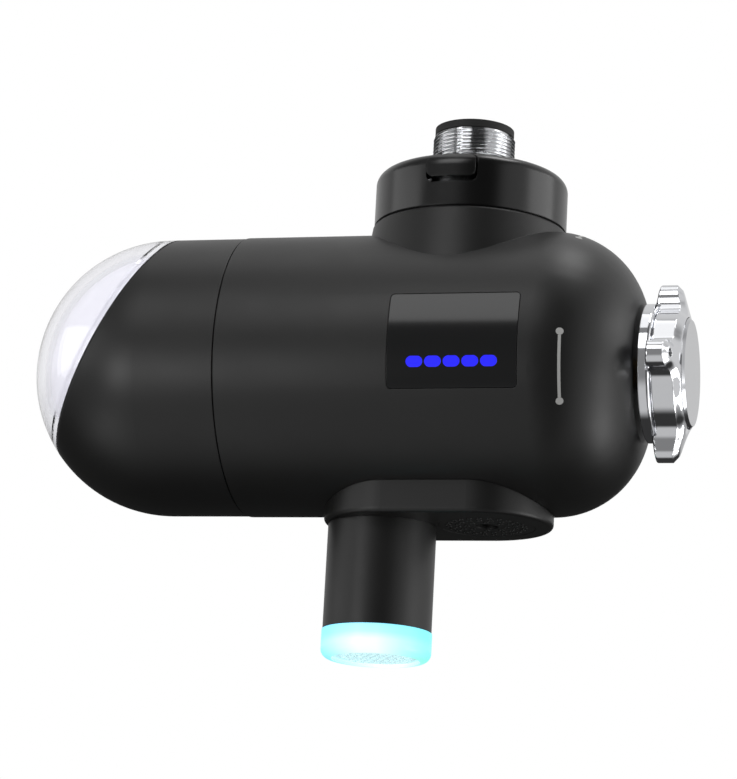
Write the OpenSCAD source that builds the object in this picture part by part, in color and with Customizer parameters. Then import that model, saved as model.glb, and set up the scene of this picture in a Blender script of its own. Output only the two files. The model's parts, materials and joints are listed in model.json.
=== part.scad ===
// Faucet mount water filter: a barrel that hangs under a spout, with a filter cartridge behind a
// clear domed end cap, a chrome diverter knob, a lit outlet tube and a shower outlet.
// Millimetres. +X runs along the barrel towards the knob, -Y is the front with the display, +Z is up.
// The origin is the foot of the thread that screws into the spout.

/* [Barrel] */
// Outside diameter of the barrel
body_d = 75; // [74:0.5:80]
// Wall of the barrel
body_wall = 2.6; // [2.2:0.1:3]
// Neck axis to the joint with the end cap
left_len = 57.8; // [56:0.5:66]
// Neck axis to the flat seat of the knob
right_len = 48.2; // [47:0.2:52]
// Radius of the rounded end of the barrel
end_round = 24.4; // [22:0.2:26]
// Foot of the spout thread above the collar
stub_rise = 3.9; // [3:0.1:6]

/* [End cap] */
// Joint with the barrel to the centre of the dome
cap_straight = 22.1; // [18:0.5:30]
// Wall of the cap and of the clear window
cap_wall = 2.4; // [2:0.1:2.6]
// Height of the window plane above the centre of the dome, along the plane's normal
window_rise = 15.6; // [10:0.2:20]
// Tilt of the window plane's normal from upright, towards the dome's end
window_tilt = 61.5; // [50:0.5:70]
// Turn of the screwed-on cap about the barrel axis
cap_turn = 15; // [0:1:30]
// Thickness of the window gasket
gasket_t = 0.6; // [0.4:0.1:1]
// Length of the cap's spigot inside the barrel
spigot_len = 8; // [7:0.5:9]

/* [Cartridge] */
// Free space between the cap and the cartridge
cartridge_gap = 1.5; // [1.3:0.1:1.7]
// Wall of the cartridge shell
canister_wall = 1.8; // [1.4:0.1:2]
// Water gap between the cartridge shell and the sediment wrap
water_gap = 2.1; // [1.6:0.1:4]
// Thickness of the sediment wrap
wrap_t = 1.5; // [0.8:0.1:1.8]
// Outside diameter of the perforated core tube
core_d = 18; // [16:0.5:20]
// Outside diameter of the outlet nipple
nipple_d = 15.2; // [14:0.2:16]

/* [Neck and collar] */
// Diameter of the neck under the collar
neck_d = 52; // [50.6:0.2:54]
// Top of the neck above the top of the barrel
neck_rise = 1.6; // [1.3:0.1:2.1]
// Outside diameter of the release collar
collar_d = 51.3; // [50:0.1:52]
// Height of the release collar
collar_h = 15; // [14.8:0.1:16]
// Rounding of the collar's top edge
collar_round = 3.2; // [2:0.1:3.6]
// Wall of the collar
collar_wall = 2.4; // [2:0.1:2.6]
// Width of the latch button
button_w = 13; // [10:0.5:15]
// Height of the latch button
button_h = 6.2; // [5.6:0.1:6.4]
// How far the button stands proud
button_proud = 0.9; // [0.6:0.1:1.4]
// Travel of the latch when it is pressed
latch_travel = 1.6; // [1.4:0.1:1.8]

/* [Spout adapter] */
// Major diameter of the spout thread
thread_d = 22; // [21:0.5:22]
// Length of the spout thread
thread_len = 8; // [6:0.5:9]
// Water bore of the adapter
adapter_bore = 16.4; // [14:0.2:17]
// Diameter of the plug that turns in the neck
plug_d = 24.66; // [24:0.02:24.8]

/* [Knob] */
// Diameter of the round skirt
skirt_d = 36.4; // [34:0.2:38]
// Thickness of the skirt
skirt_t = 2.9; // [2.4:0.1:3.2]
// Diameter of the round body between the lobes
knob_body_d = 32.6; // [31:0.2:33.4]
// Diameter across the tips of the lobes
knob_tip_d = 47.6; // [47.4:0.2:50]
// Width of a lobe
lobe_w = 7; // [6:0.1:7]
// Radius of the hollow beside a lobe
lobe_fillet = 5.8; // [4:0.2:5.8]
// Thickness of the handle at its round body
handle_t = 7.3; // [6.8:0.1:8]
// Diameter of the round centre cap
knob_cap_d = 28.8; // [26:0.2:29]
// Gap between the barrel and the skirt
knob_gap = 1.2; // [0.3:0.1:1.4]
// Diameter of the valve spindle
spindle_d = 8; // [7:0.5:8]

/* [Outlets] */
// Width of the outlet base
base_w = 38.2; // [37:0.2:40]
// Depth of the outlet base below the barrel
base_drop = 3.3; // [2.7:0.1:4.5]
// Left end of the base to the neck axis
base_left = 35.2; // [34.6:0.2:36]
// Right end of the base to the neck axis
base_right = 25.5; // [24:0.5:30]
// Rounding of the lower edge of the base
base_round = 1.2; // [0.8:0.1:1.6]
// Axis of the filtered water tube, left of the neck axis
tube_x = 19.9; // [19.9:0.1:20.4]
// Outside diameter of the filtered water tube
tube_d = 28.5; // [28:0.1:29]
// Length of the tube below the base
tube_len = 28; // [25:0.5:35]
// Outside diameter of the light ring
ring_d = 28.9; // [28.6:0.1:31]
// Height of the light ring
ring_h = 7.4; // [7:0.2:10]
// Rounding of the light ring's lower edge
ring_round = 2.4; // [1.5:0.1:2.6]
// Axis of the shower outlet, right of the neck axis
shower_x = 8.1; // [8.1:0.1:9]
// Diameter of the shower plate
shower_d = 25.2; // [24:0.2:25.4]
// Diameter of the hole in the middle of the shower plate
centre_hole = 6.2; // [5:0.2:7]
// Diameter of a shower hole
shower_hole = 1; // [0.8:0.1:1.2]

/* [Display] */
// Width of the display lens along the barrel
lens_w = 33.6; // [30:0.2:36]
// Height of the display lens
lens_h = 24.8; // [24:0.2:25]
// Thickness of the lens
lens_t = 1.5; // [1.3:0.1:1.6]
// Centre of the lens right of the neck axis
lens_x = 5.1; // [4:0.1:6]
// Number of level lights
bar_count = 5; // [3:1:6]
// Length of a level light
bar_w = 4.3; // [3.6:0.1:4.4]
// Height of a level light
bar_h = 2.8; // [2:0.1:3.2]
// Spacing of the level lights
bar_pitch = 4.83; // [4.8:0.01:5]
// Level lights below the barrel axis
bar_drop = 5.8; // [4:0.1:7]

/* [Turbine] */
// Outside diameter of the turbine case
turbine_d = 20.4; // [20:0.1:20.6]
// Number of turbine blades
blade_count = 8; // [6:1:10]
// Diameter of the turbine pin
pin_d = 2; // [1.8:0.1:2.4]

/* [Hidden] */
$fn = 96;

// Clearances shared by mating pieces
fit = 0.1;          // pieces pushed together by hand
run_fit = 0.06;     // turning and sliding pieces
seam = 0.3;         // open joint lines between moving pieces
skin = 0.05;        // curved faces that lie on each other
seal_squash = 0.03; // seal to the wall it wipes
big = 200;

// Barrel
body_r = body_d/2;
bore_r = body_r - body_wall;
wall_cut = 10;
seat_r = skirt_d/2 + 0.3;
round_x = right_len - sqrt(pow(end_round, 2) - pow(seat_r - body_r + end_round, 2));
cavity_end = right_len - body_wall;

// End cap and its spigot
cap_r = body_r - 0.2;
cap_in_r = cap_r - cap_wall;
dome_x = -left_len - cap_straight;
canister_r = cap_in_r - cartridge_gap;
rebate_r = bore_r + 1;
spigot_r = rebate_r - fit;
spigot_in_r = canister_r + 0.5;
cap_seal_r = 0.6;
cap_seal_x = -left_len + spigot_len/2;

// Chambers along the barrel
bulkhead_t = 4;
boss_t = 4;
cross_bore = 3.4;
case_r = turbine_d/2;
bulkhead_x = -tube_x - case_r - bulkhead_t - boss_t - 1.9;
ledge_t = 2;
plate_x = bulkhead_x - 0.4;
plate_flange = 1.2;
plate_plug = 2;
canister_end = plate_x - plate_flange;
socket_len = 7;
socket_r = nipple_d/2 + 0.6;
nipple_len = socket_len + 0.4 - 0.6;
feed_y = 17;
feed_r = 4.2;
feed_bore = 2.8;
turbine_boss_x = bulkhead_x + bulkhead_t + boss_t;

// Cartridge
canister_in_r = canister_r - canister_wall;
wrap_r = canister_in_r - water_gap;
carbon_r = wrap_r - wrap_t;
core_r = core_d/2;
core_wall = 1.6;
carbon_right = canister_end - plate_plug;
end_disc_t = 3;
disc_gap = 0.22;
disc_left = dome_x - sqrt(pow(canister_in_r - disc_gap, 2) - pow(wrap_r, 2));
carbon_left = disc_left + end_disc_t;

// Neck, collar and latch
neck_r = neck_d/2;
neck_top = body_r + neck_rise;
neck_foot = body_r - 17.5;
neck_flare = 2.7;
collar_r = collar_d/2;
collar_in_r = collar_r - collar_wall;
collar_top = neck_top + collar_h;
axis_drop = collar_top + stub_rise;
collar_roof = 2;
rim_h = 1.9;
plug_r = plug_d/2;
socket_bore = plug_r + run_fit + 0.01;
socket_wall = 3;
socket_floor_t = 2;
socket_floor = neck_top - 8.1;
socket_flange = 4;
socket_r_out = socket_bore + socket_wall;
plate_z = neck_top + 5.1;
latch_t = 2.8;
latch_w = 34;
latch_r = collar_in_r - latch_travel - 0.4;
latch_hole = plug_r + 0.3;
groove_r = latch_hole - latch_travel - 0.2;
button_z = plate_z + latch_t + button_h/2;
button_tongue = 4;
finger_gap = 0.9;
spring_r = 0.8;
spring_wire = 0.25;
spring_x = 8;
spring_back = latch_travel + 0.2;
plug_foot = socket_floor + 3.2;
adapter_seal_r = 0.9;
adapter_seal_z = plug_foot + 3;

// Valve and knob
valve_x = 14;
disc_t = 2.4;
disc_r = 8.3;
port_r = 2.2;
port_off = 4.4;
manifold_r = 13;
manifold_left = -8;
manifold_right = 33;
spindle_r = spindle_d/2;
head_x = valve_x + 2*disc_t + 0.4;
head_t = 3;
bonnet_x = head_x + head_t + 0.4;
bonnet_r = 10.5;
nose_r = 7;
skirt_x = right_len + knob_gap;
handle_x = skirt_x + skirt_t;
screw_head_r = 2.8;
screw_head_t = 1.8;
lobe_hook = 0.9;
tip_back = 0.1;
tip_front = 2.4;
pointer_d = 2.2;
pointer_r = knob_tip_d/2 - 2.8;
cap_seat_x = handle_x + handle_t;
cap_lift = 0.5;
cap_sunk = 1.6;
cap_bevel = 0.6;
cap_rise = 0.8;
crown_x = cap_seat_x + cap_lift;
cap_floor_x = cap_seat_x - cap_sunk;
spindle_end = cap_floor_x - 2.4;

// Outlets
inlet_r = 8.4;
inlet_bore = 6.6;
raw_r = 6;
raw_bore = 4.2;
base_r = base_w/2;
base_depth = body_r + base_drop;
base_top = body_r - 19.5;
tube_drop = base_depth + tube_len;
base_x1 = -base_left + base_r;
base_x2 = base_right - base_r;
tube_r = tube_d/2;
tube_in_r = tube_r - 1.7;
spout_r = 7.2;
spout_bore = 5.8;
pipe_r = 8.8;
pipe_bore = spout_r + fit;
ring_r = ring_d/2;
nozzle_r = ring_r - ring_round - 0.55;
tube_plug_r = 12.5;
tube_plug_h = 3;
screw_x = -3.4;
screw_y = 13;
screw_head = 2.6;
screw_post = 3.6;
screw_seat = sqrt(pow(bore_r, 2) - pow(screw_y + screw_head, 2)) - 0.4;
shower_r = shower_d/2;
shower_t = 1.4;
shower_recess = 1.8;

// Display
lens_ledge = 1.3;
board_y = body_r - 7.2;
board_w = lens_w - 3.6;
board_h = lens_h - 3.8;
board_t = 1.4;

// Turbine
case_wall = 1.6;
wheel_r = case_r - case_wall - 0.6;
pin_r = pin_d/2;
case_floor = -20;
case_top = 9;

// Puts a piece that is drawn about the barrel axis below the spout thread
module hung() { translate([0, 0, -axis_drop]) children(); }

// Turns a piece drawn along +Z so that it runs along the barrel towards the knob
module along_x() { rotate([0, 90, 0]) children(); }

// A solid cylinder along the barrel from x0 to x1
module bar_x(r, x0, x1) { translate([x0, 0, 0]) along_x() cylinder(r = r, h = x1 - x0); }

// A tube along Z from z0 to z1
module tube_z(r, bore, z0, z1) {
    translate([0, 0, z0]) difference() {
        cylinder(r = r, h = z1 - z0);
        translate([0, 0, -1]) cylinder(r = bore, h = z1 - z0 + 2);
    }
}

// A ring of round section about Z, for seals
module o_ring(r, section) { rotate_extrude() translate([r, 0]) circle(r = section, $fn = 32); }

// A cylinder whose top edge is rounded
module rounded_top(r, h, edge) {
    rotate_extrude() union() {
        square([r, h - edge]);
        square([r - edge, h]);
        translate([r - edge, h - edge]) intersection() {
            circle(r = edge);
            square(edge);
        }
    }
}

// The barrel's outline turned about X: straight from x0, then rounded into a flat end
module barrel_form(r, edge, x0, x1) {
    along_x() rotate_extrude() union() {
        translate([0, x0]) square([r, round_x - x0]);
        translate([0, x0]) square([r - edge, x1 - x0]);
        intersection() {
            translate([r - edge, round_x]) circle(r = edge, $fn = 180);
            translate([0, round_x]) square([r, x1 - round_x]);
        }
    }
}

// The domed form of the cap or cartridge turned about X: a half ball run into a cylinder that ends at x1
module dome_form(r, x1) {
    along_x() rotate_extrude() union() {
        translate([0, dome_x]) square([r, x1 - dome_x]);
        intersection() {
            translate([0, dome_x]) circle(r = r, $fn = 180);
            translate([0, dome_x - r]) square([r, r]);
        }
    }
}

// Everything above the slanted window plane, less a set-back
module window_side(rise) {
    translate([dome_x, 0, 0]) rotate([cap_turn, 0, 0]) rotate([0, -window_tilt, 0])
        translate([-big/2, -big/2, rise]) cube(big);
}

// A stadium-shaped block with rounded ends and a rounded lower edge
module base_form(r, depth, top, edge) {
    for (x = [base_x1, base_x2])
        translate([x, 0, -depth]) mirror([0, 0, 1]) translate([0, 0, top - depth])
            rounded_top(r, depth - top, edge);
    translate([base_x1, 0, 0]) along_x() linear_extrude(base_x2 - base_x1) union() {
        translate([top, -r]) square([depth - top - edge, 2*r]);
        translate([top, -r + edge]) square([depth - top, 2*(r - edge)]);
        for (side = [-1, 1])
            translate([depth - edge, side*(r - edge)]) circle(r = edge);
    }
}

// A flat rounded rectangle, centred
module rounded_plate(w, h, edge) {
    square([w - 2*edge, h], center = true);
    square([w, h - 2*edge], center = true);
    for (x = [-1, 1], y = [-1, 1])
        translate([x*(w/2 - edge), y*(h/2 - edge)]) circle(r = edge);
}

// A prism of a flat outline that faces the front, from depth y0 to y1 in front of the axis
module facing_front(x, z, y0, y1) {
    translate([x, -y0, z]) rotate([90, 0, 0]) linear_extrude(y1 - y0) children();
}

// Points of a wire coil along Z
function coil_point(i, turns, steps, r, pitch) =
    let (a = 360*i/steps) [r*cos(a), r*sin(a), pitch*i/steps];

// Round wire wound into a coil about Z
module wire_coil(r, wire, turns, pitch, steps = 10, sides = 5) {
    count = turns*steps;
    points = [for (i = [0:count], k = [0:sides - 1])
        let (p = coil_point(i, turns, steps, r, pitch), a = 360*i/steps, b = 360*k/sides)
        [p[0] + wire*cos(b)*cos(a), p[1] + wire*cos(b)*sin(a), p[2] + wire*sin(b)]];
    walls = [for (i = [0:count - 1], k = [0:sides - 1])
        [i*sides + k, i*sides + (k + 1)%sides, (i + 1)*sides + (k + 1)%sides, (i + 1)*sides + k]];
    ends = [[for (k = [sides - 1:-1:0]) k], [for (k = [0:sides - 1]) count*sides + k]];
    polyhedron(points = points, faces = concat(walls, ends), convexity = 4);
}

// Threaded plug that stays on the spout and lets the filter swivel
module spout_adapter() {
    color("silver") hung() difference() {
        union() {
            translate([0, 0, plug_foot]) cylinder(r = plug_r, h = collar_top - 1.2 - plug_foot);
            translate([0, 0, collar_top - 1.3]) cylinder(r = thread_d/2, h = 3.1);
            translate([0, 0, collar_top]) cylinder(r = thread_d/2 - 0.8, h = axis_drop - collar_top);
            translate([0, 0, axis_drop]) cylinder(r = thread_d/2, h = thread_len - 0.5);
            translate([0, 0, axis_drop + thread_len - 0.5])
                cylinder(r1 = thread_d/2, r2 = thread_d/2 - 0.5, h = 0.5);
        }
        translate([0, 0, plug_foot - 1]) cylinder(r = adapter_bore/2, h = big);
        tube_z(plug_r + 1, groove_r, plate_z - seam, plate_z + latch_t + seam);
        tube_z(plug_r + 1, plug_r - 2*adapter_seal_r, adapter_seal_z - 1.2, adapter_seal_z + 1.2);
        translate([0, 0, axis_drop + thread_len - 2.6]) cylinder(r = adapter_bore/2 + 0.8, h = 5);
    }
}

// Flat washer that seals against the spout
module inlet_washer() {
    color("dimgray") hung()
        tube_z(thread_d/2 - 0.4, adapter_bore/2, axis_drop + thread_len, axis_drop + thread_len + 2);
}

// Round strainer in the mouth of the adapter
module inlet_screen() {
    screen_r = adapter_bore/2 + 0.8 - skin;
    color("gainsboro") hung() translate([0, 0, axis_drop + thread_len - 2.6]) difference() {
        union() {
            cylinder(r = screen_r, h = 0.6);
            tube_z(screen_r, screen_r - 0.7, 0, 2.4);
        }
        for (ring = [0:3], i = [0:max(0, 6*ring - 1)])
            rotate([0, 0, ring == 0 ? 0 : 60*i/ring])
                translate([1.7*ring, 0, -1]) cylinder(r = 0.55, h = 3, $fn = 16);
    }
}

// Swivel seal in the adapter's lower groove
module adapter_seal() {
    color("dimgray") hung() translate([0, 0, adapter_seal_z])
        o_ring(plug_r - adapter_seal_r + seal_squash, adapter_seal_r);
}

// Barrel moulding with its rounded end, neck and cartridge ledge
module main_housing() {
    color("#2b2b2b") hung() difference() {
        union() {
            difference() {
                union() {
                    barrel_form(body_r, end_round, -left_len, right_len);
                    translate([0, 0, neck_foot]) cylinder(r1 = neck_r + neck_flare, r2 = neck_r,
                                                          h = neck_top - 0.5 - neck_foot);
                    translate([0, 0, neck_top - 0.5]) cylinder(r1 = neck_r, r2 = neck_r - 0.5, h = 0.5);
                }
                barrel_form(bore_r, end_round - body_wall, -left_len - 1, cavity_end);
                bar_x(rebate_r, -left_len - 1, -left_len + spigot_len + 0.4);
                cylinder(r = neck_r - body_wall, h = neck_top - body_wall);
            }
            tube_z(collar_in_r - fit, collar_in_r - fit - 1.6, neck_top - 1, neck_top + rim_h);
            intersection() {
                bar_x(bore_r + 0.5, bulkhead_x + bulkhead_t, bulkhead_x + bulkhead_t + ledge_t);
                difference() {
                    bar_x(bore_r + 0.5, -left_len, 0);
                    bar_x(bore_r - 1.8, -left_len, 0);
                }
            }
            for (side = [-1, 1]) intersection() {
                translate([screw_x, side*screw_y, -body_r]) cylinder(r = screw_post, h = body_r - screw_seat);
                barrel_form(body_r - 0.5, end_round, -left_len, right_len);
            }
        }
        translate([0, 0, socket_floor]) cylinder(r = socket_r_out + fit, h = big);
        bar_x(nose_r + fit, cavity_end - 1, right_len + 1);
        translate([-tube_x, 0, -body_r - 1]) cylinder(r = pipe_r + fit, h = wall_cut);
        translate([shower_x, 0, -body_r - 1]) cylinder(r = raw_r + fit, h = wall_cut);
        for (side = [-1, 1])
            translate([screw_x, side*screw_y, -body_r - 1]) cylinder(r = 1.55, h = wall_cut + 2);
        difference() {
            facing_front(lens_x, 0, 0, body_r + 3) rounded_plate(lens_w + 0.3, lens_h + 0.3, 1.2);
            bar_x(body_r - lens_t - skin, -big/2, big/2);
        }
        facing_front(lens_x, 0, bore_r - 8, body_r)
            rounded_plate(lens_w - 2*lens_ledge, lens_h - 2*lens_ledge, 1);
    }
}

// Socket under the roof of the neck that takes the adapter's plug
module swivel_socket() {
    roof = neck_top - body_wall;
    color("gainsboro") hung() difference() {
        union() {
            translate([0, 0, socket_floor]) cylinder(r = socket_r_out, h = plate_z - seam - socket_floor);
            translate([0, 0, roof - socket_floor_t]) cylinder(r = socket_r_out + socket_flange, h = socket_floor_t);
        }
        translate([0, 0, socket_floor + socket_floor_t]) cylinder(r = socket_bore, h = big);
        translate([0, 0, socket_floor - 1]) cylinder(r = inlet_bore, h = big);
    }
}

// Release collar over the neck, with the window for the latch button
module collar_ring() {
    color("#242424") hung() difference() {
        translate([0, 0, neck_top]) difference() {
            rounded_top(collar_r, collar_h, collar_round);
            translate([0, 0, -0.01]) difference() {
                cylinder(r = collar_r + 1, h = 0.5);
                cylinder(r1 = collar_r - 0.5, r2 = collar_r, h = 0.51);
            }
        }
        translate([0, 0, neck_top - 1]) cylinder(r = collar_in_r, h = collar_h - collar_roof + 1);
        cylinder(r = plug_r + 0.6, h = big);
        facing_front(0, button_z - finger_gap/2, latch_r - button_tongue - latch_travel - 0.4, collar_r + 5)
            rounded_plate(button_w + 2*seam, button_h + 2*seam + finger_gap, 2);
    }
}

// Push button on the front of the collar
module latch_button() {
    color("#2e2e2e") hung() intersection() {
        facing_front(0, button_z, latch_r - button_tongue, collar_r + 5)
            rounded_plate(button_w, button_h, 1.8);
        translate([0, 0, neck_top])
            rounded_top(collar_r + button_proud, collar_h + 0.2, collar_round + button_proud);
    }
}

// Sliding plate whose rear edge holds the adapter's groove
module latch_plate() {
    color("lightsteelblue") hung() translate([0, 0, plate_z]) difference() {
        intersection() {
            cylinder(r = latch_r, h = latch_t);
            translate([-latch_w/2, -big/2, 0]) cube([latch_w, big, latch_t]);
        }
        translate([0, -latch_travel, -1]) cylinder(r = latch_hole, h = latch_t + 2);
        for (side = [-1, 1])
            translate([side*spring_x, latch_r - 5.2, latch_t/2]) rotate([-90, 0, 0])
                cylinder(r = spring_r + spring_wire + 0.1, h = 10);
    }
}

// Two springs that push the latch plate towards the front
module latch_springs() {
    seat_y = latch_r - 5.1 + spring_wire;
    far_y = sqrt(pow(collar_in_r, 2) - pow(spring_x + spring_r + spring_wire, 2)) - spring_back - spring_wire;
    color("silver") hung() for (side = [-1, 1])
        translate([side*spring_x, seat_y, plate_z + latch_t/2]) rotate([-90, 0, 0])
            wire_coil(spring_r, spring_wire, 5, (far_y - seat_y)/5);
}

// Moulded water block: inlet from the neck, valve chamber, raw outlet and cartridge feed
module manifold() {
    color("gainsboro") hung() difference() {
        union() {
            bar_x(manifold_r, manifold_left, manifold_right);
            cylinder(r = inlet_r, h = socket_floor);
            translate([shower_x, 0, -body_r - 0.6]) cylinder(r = raw_r, h = body_r + 0.6);
            translate([0, feed_y, 0]) bar_x(feed_r, bulkhead_x + bulkhead_t, -3 + feed_r);
            translate([-3, 0, 0]) rotate([-90, 0, 0]) cylinder(r = feed_r, h = feed_y);
        }
        translate([0, 0, port_off]) cylinder(r = inlet_bore, h = big);
        translate([0, 0, port_off]) bar_x(port_r, 0, valve_x + 1);
        translate([0, 0, -port_off]) bar_x(port_r, shower_x - 1, valve_x + 1);
        translate([0, port_off, 0]) bar_x(port_r, -3, valve_x + 1);
        translate([-3, port_off - 1, 0]) rotate([-90, 0, 0]) cylinder(r = port_r, h = feed_y - port_off + 1);
        translate([0, feed_y, 0]) bar_x(feed_bore, bulkhead_x, -3);
        translate([shower_x, 0, -big - port_off + port_r]) cylinder(r = raw_bore, h = big);
        bar_x(disc_r + fit, valve_x, bonnet_x + 0.1);
        bar_x(bonnet_r + fit, bonnet_x, manifold_right + 1);
    }
}

// Ceramic disc with the inlet, raw and filtered ports
module fixed_disc() {
    color("white") hung() difference() {
        bar_x(disc_r, valve_x, valve_x + disc_t);
        for (port = [[0, port_off], [0, -port_off], [port_off, 0]])
            translate([0, port[0], port[1]]) bar_x(port_r, valve_x - 1, valve_x + disc_t + 1);
    }
}

// Ceramic disc that the spindle turns over the ports
module moving_disc() {
    color("ivory") hung() difference() {
        bar_x(disc_r - 0.5, valve_x + disc_t + 0.1, valve_x + 2*disc_t + 0.1);
        for (turn = [0:15:90]) rotate([turn, 0, 0])
            translate([0, 0, port_off]) bar_x(port_r, valve_x + disc_t - 1, valve_x + disc_t + 1.5);
        bar_x(1.5, valve_x + 2*disc_t - 1, valve_x + 2*disc_t + 1);
    }
}

// Bonnet that closes the valve chamber and guides the spindle through the barrel's end
module valve_bonnet() {
    color("burlywood") hung() difference() {
        union() {
            bar_x(bonnet_r, bonnet_x, manifold_right);
            bar_x(nose_r, manifold_right - 1, right_len);
        }
        bar_x(spindle_r + run_fit, bonnet_x - 1, right_len + 1);
    }
}

// Turned spindle with two seal grooves and a drive head
module valve_spindle() {
    color("goldenrod") hung() difference() {
        union() {
            bar_x(7, head_x, head_x + head_t);
            bar_x(spindle_r, head_x, spindle_end);
            bar_x(1.4, valve_x + 2*disc_t - 0.8, head_x + 1);
        }
        for (x = [bonnet_x + 6, bonnet_x + 10]) difference() {
            bar_x(spindle_r + 1, x, x + 1.4);
            bar_x(spindle_r - 1, x - 1, x + 3);
        }
        bar_x(1.3, spindle_end - 9, spindle_end + 1);
    }
}

// Two round seals in the spindle's grooves
module spindle_seals() {
    color("dimgray") hung() for (x = [bonnet_x + 6.7, bonnet_x + 10.7])
        translate([x, 0, 0]) along_x() o_ring(spindle_r - 0.45, 0.48);
}

// Round chrome skirt behind the handle
module knob_skirt() {
    color("silver") hung() difference() {
        translate([skirt_x, 0, 0]) along_x() rounded_top(skirt_d/2, skirt_t, 0.8);
        bar_x(spindle_r + fit, skirt_x - 1, handle_x + 1);
    }
}

// Flat outline of the four-lobed handle
module lobed_outline() {
    lobe_r = lobe_w/2;
    reach = knob_body_d/2 + lobe_fillet;
    side = lobe_r + lobe_fillet;
    along = sqrt(pow(reach, 2) - pow(side, 2));
    k = knob_body_d/2/reach;
    circle(d = knob_body_d, $fn = 180);
    for (turn = [0:90:270]) rotate(turn) {
        translate([0, -lobe_r]) square([knob_tip_d/2 - lobe_r, lobe_w]);
        translate([knob_tip_d/2 - lobe_r, 0]) circle(r = lobe_r);
        for (m = [0, 1]) mirror([0, m, 0]) difference() {
            polygon([[0, 0], [along, 0], [along, side], [along*k, side*k]]);
            translate([along, side]) circle(r = lobe_fillet);
        }
    }
}

// Four-lobed chrome handle
module knob_handle() {
    hook_edge = skirt_d/2 + fit;
    tip_edge = knob_tip_d/2;
    color("silver") hung() difference() {
        intersection() {
            translate([handle_x - lobe_hook, 0, 0]) along_x()
                linear_extrude(lobe_hook + handle_t + cap_lift + 1) lobed_outline();
            translate([handle_x, 0, 0]) along_x() rotate_extrude($fn = 180)
                polygon([[0, 0], [hook_edge, 0], [hook_edge, -lobe_hook], [tip_edge + 1, tip_back],
                         [tip_edge + 1, handle_t - tip_front], [knob_cap_d/2 + seam, handle_t + cap_lift],
                         [0, handle_t + cap_lift]]);
        }
        bar_x(knob_cap_d/2 + seam/2, cap_floor_x, crown_x + 1);
        bar_x(spindle_r + fit, handle_x - 1, spindle_end + 0.1);
        bar_x(1.7, spindle_end - 1, cap_seat_x);
        bar_x(screw_head_r + 0.2, spindle_end + 0.5, cap_seat_x);
        translate([0, -pointer_r, 0]) bar_x(pointer_d/2, cap_seat_x - tip_front - 1, crown_x);
    }
}

// Screw that holds the handle on the spindle
module knob_screw() {
    head_seat = spindle_end + 0.5;
    color("gray") hung() difference() {
        union() {
            bar_x(screw_head_r, head_seat, head_seat + screw_head_t - 0.6);
            bar_x(1.25, spindle_end - 8, head_seat + 0.5);
        }
        bar_x(1.1, head_seat + 0.4, head_seat + 3);
    }
}

// Round cap with a bevelled edge that hides the screw
module knob_cap() {
    rim = knob_cap_d/2;
    color("whitesmoke") hung() along_x() rotate_extrude()
        polygon([[0, cap_floor_x + skin], [rim, cap_floor_x + skin], [rim, crown_x + 0.1],
                 [rim - cap_bevel, crown_x + cap_rise], [0, crown_x + cap_rise]]);
}

// Wall between the filter chamber and the valve chamber, with the cartridge socket
module bulkhead() {
    color("gainsboro") hung() difference() {
        union() {
            bar_x(bore_r - fit, bulkhead_x, bulkhead_x + bulkhead_t);
            bar_x(socket_r + 2.6, bulkhead_x, turbine_boss_x);
        }
        bar_x(socket_r, bulkhead_x - 1, bulkhead_x + socket_len);
        bar_x(cross_bore, bulkhead_x, turbine_boss_x + 1);
        translate([0, feed_y, 0]) bar_x(feed_bore, bulkhead_x - 1, bulkhead_x + bulkhead_t + 1);
    }
}

// Case of the small water turbine over the filtered outlet
module turbine_case() {
    color("aliceblue") hung() difference() {
        union() {
            translate([-tube_x, 0, case_floor]) cylinder(r = case_r, h = case_top - case_floor);
            bar_x(5, turbine_boss_x, -tube_x);
            translate([-tube_x, 0, -body_r - 0.5]) cylinder(r = spout_r, h = body_r + case_floor + 1);
        }
        translate([-tube_x, 0, case_floor + 2]) cylinder(r = case_r - case_wall, h = big);
        bar_x(cross_bore, turbine_boss_x - 1, -tube_x);
        translate([-tube_x, 0, -body_r - 1]) cylinder(r = spout_bore, h = body_r + 1 + case_floor);
        translate([-tube_x, 0, case_floor - 1]) {
            cylinder(r = pin_r + 0.02, h = 4);
            for (i = [0:3]) rotate([0, 0, 45 + 90*i]) translate([3.7, 0, 0]) cylinder(r = 1.7, h = 4);
        }
    }
}

// Lid of the turbine case with the upper bearing of the pin
module turbine_lid() {
    color("aliceblue") hung() translate([-tube_x, 0, 0]) difference() {
        translate([0, 0, case_top]) cylinder(r = case_r, h = 2);
        translate([0, 0, case_top - 1]) cylinder(r = pin_r + 0.02, h = 2.1);
    }
}

// Steel pin that the turbine turns on
module turbine_pin() {
    color("silver") hung() translate([-tube_x, 0, case_floor + 0.1])
        cylinder(r = pin_r, h = case_top - case_floor + 0.9);
}

// Bladed wheel driven by the filtered water
module turbine_wheel() {
    color("orange") hung() translate([-tube_x, 0, -4]) difference() {
        union() {
            cylinder(r = pin_r + 1.6, h = 7);
            cylinder(r = wheel_r - 2, h = 1);
            for (i = [0:blade_count - 1]) rotate([0, 0, 360*i/blade_count])
                translate([0, 0, 0.2]) linear_extrude(5.6) intersection() {
                    difference() {
                        translate([wheel_r/2, -wheel_r/2]) circle(r = wheel_r/2 + 1);
                        translate([wheel_r/2, -wheel_r/2]) circle(r = wheel_r/2 + 0.2);
                    }
                    circle(r = wheel_r);
                    translate([0, -wheel_r]) square([wheel_r, 2*wheel_r]);
                }
        }
        translate([0, 0, -1]) cylinder(r = pin_r + 0.05, h = 9);
    }
}

// Ring magnet on the turbine wheel
module rotor_magnet() {
    color("dimgray") hung() translate([-tube_x, 0, 0]) tube_z(6.4, pin_r + 0.6, 3, 7.4);
}

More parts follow.
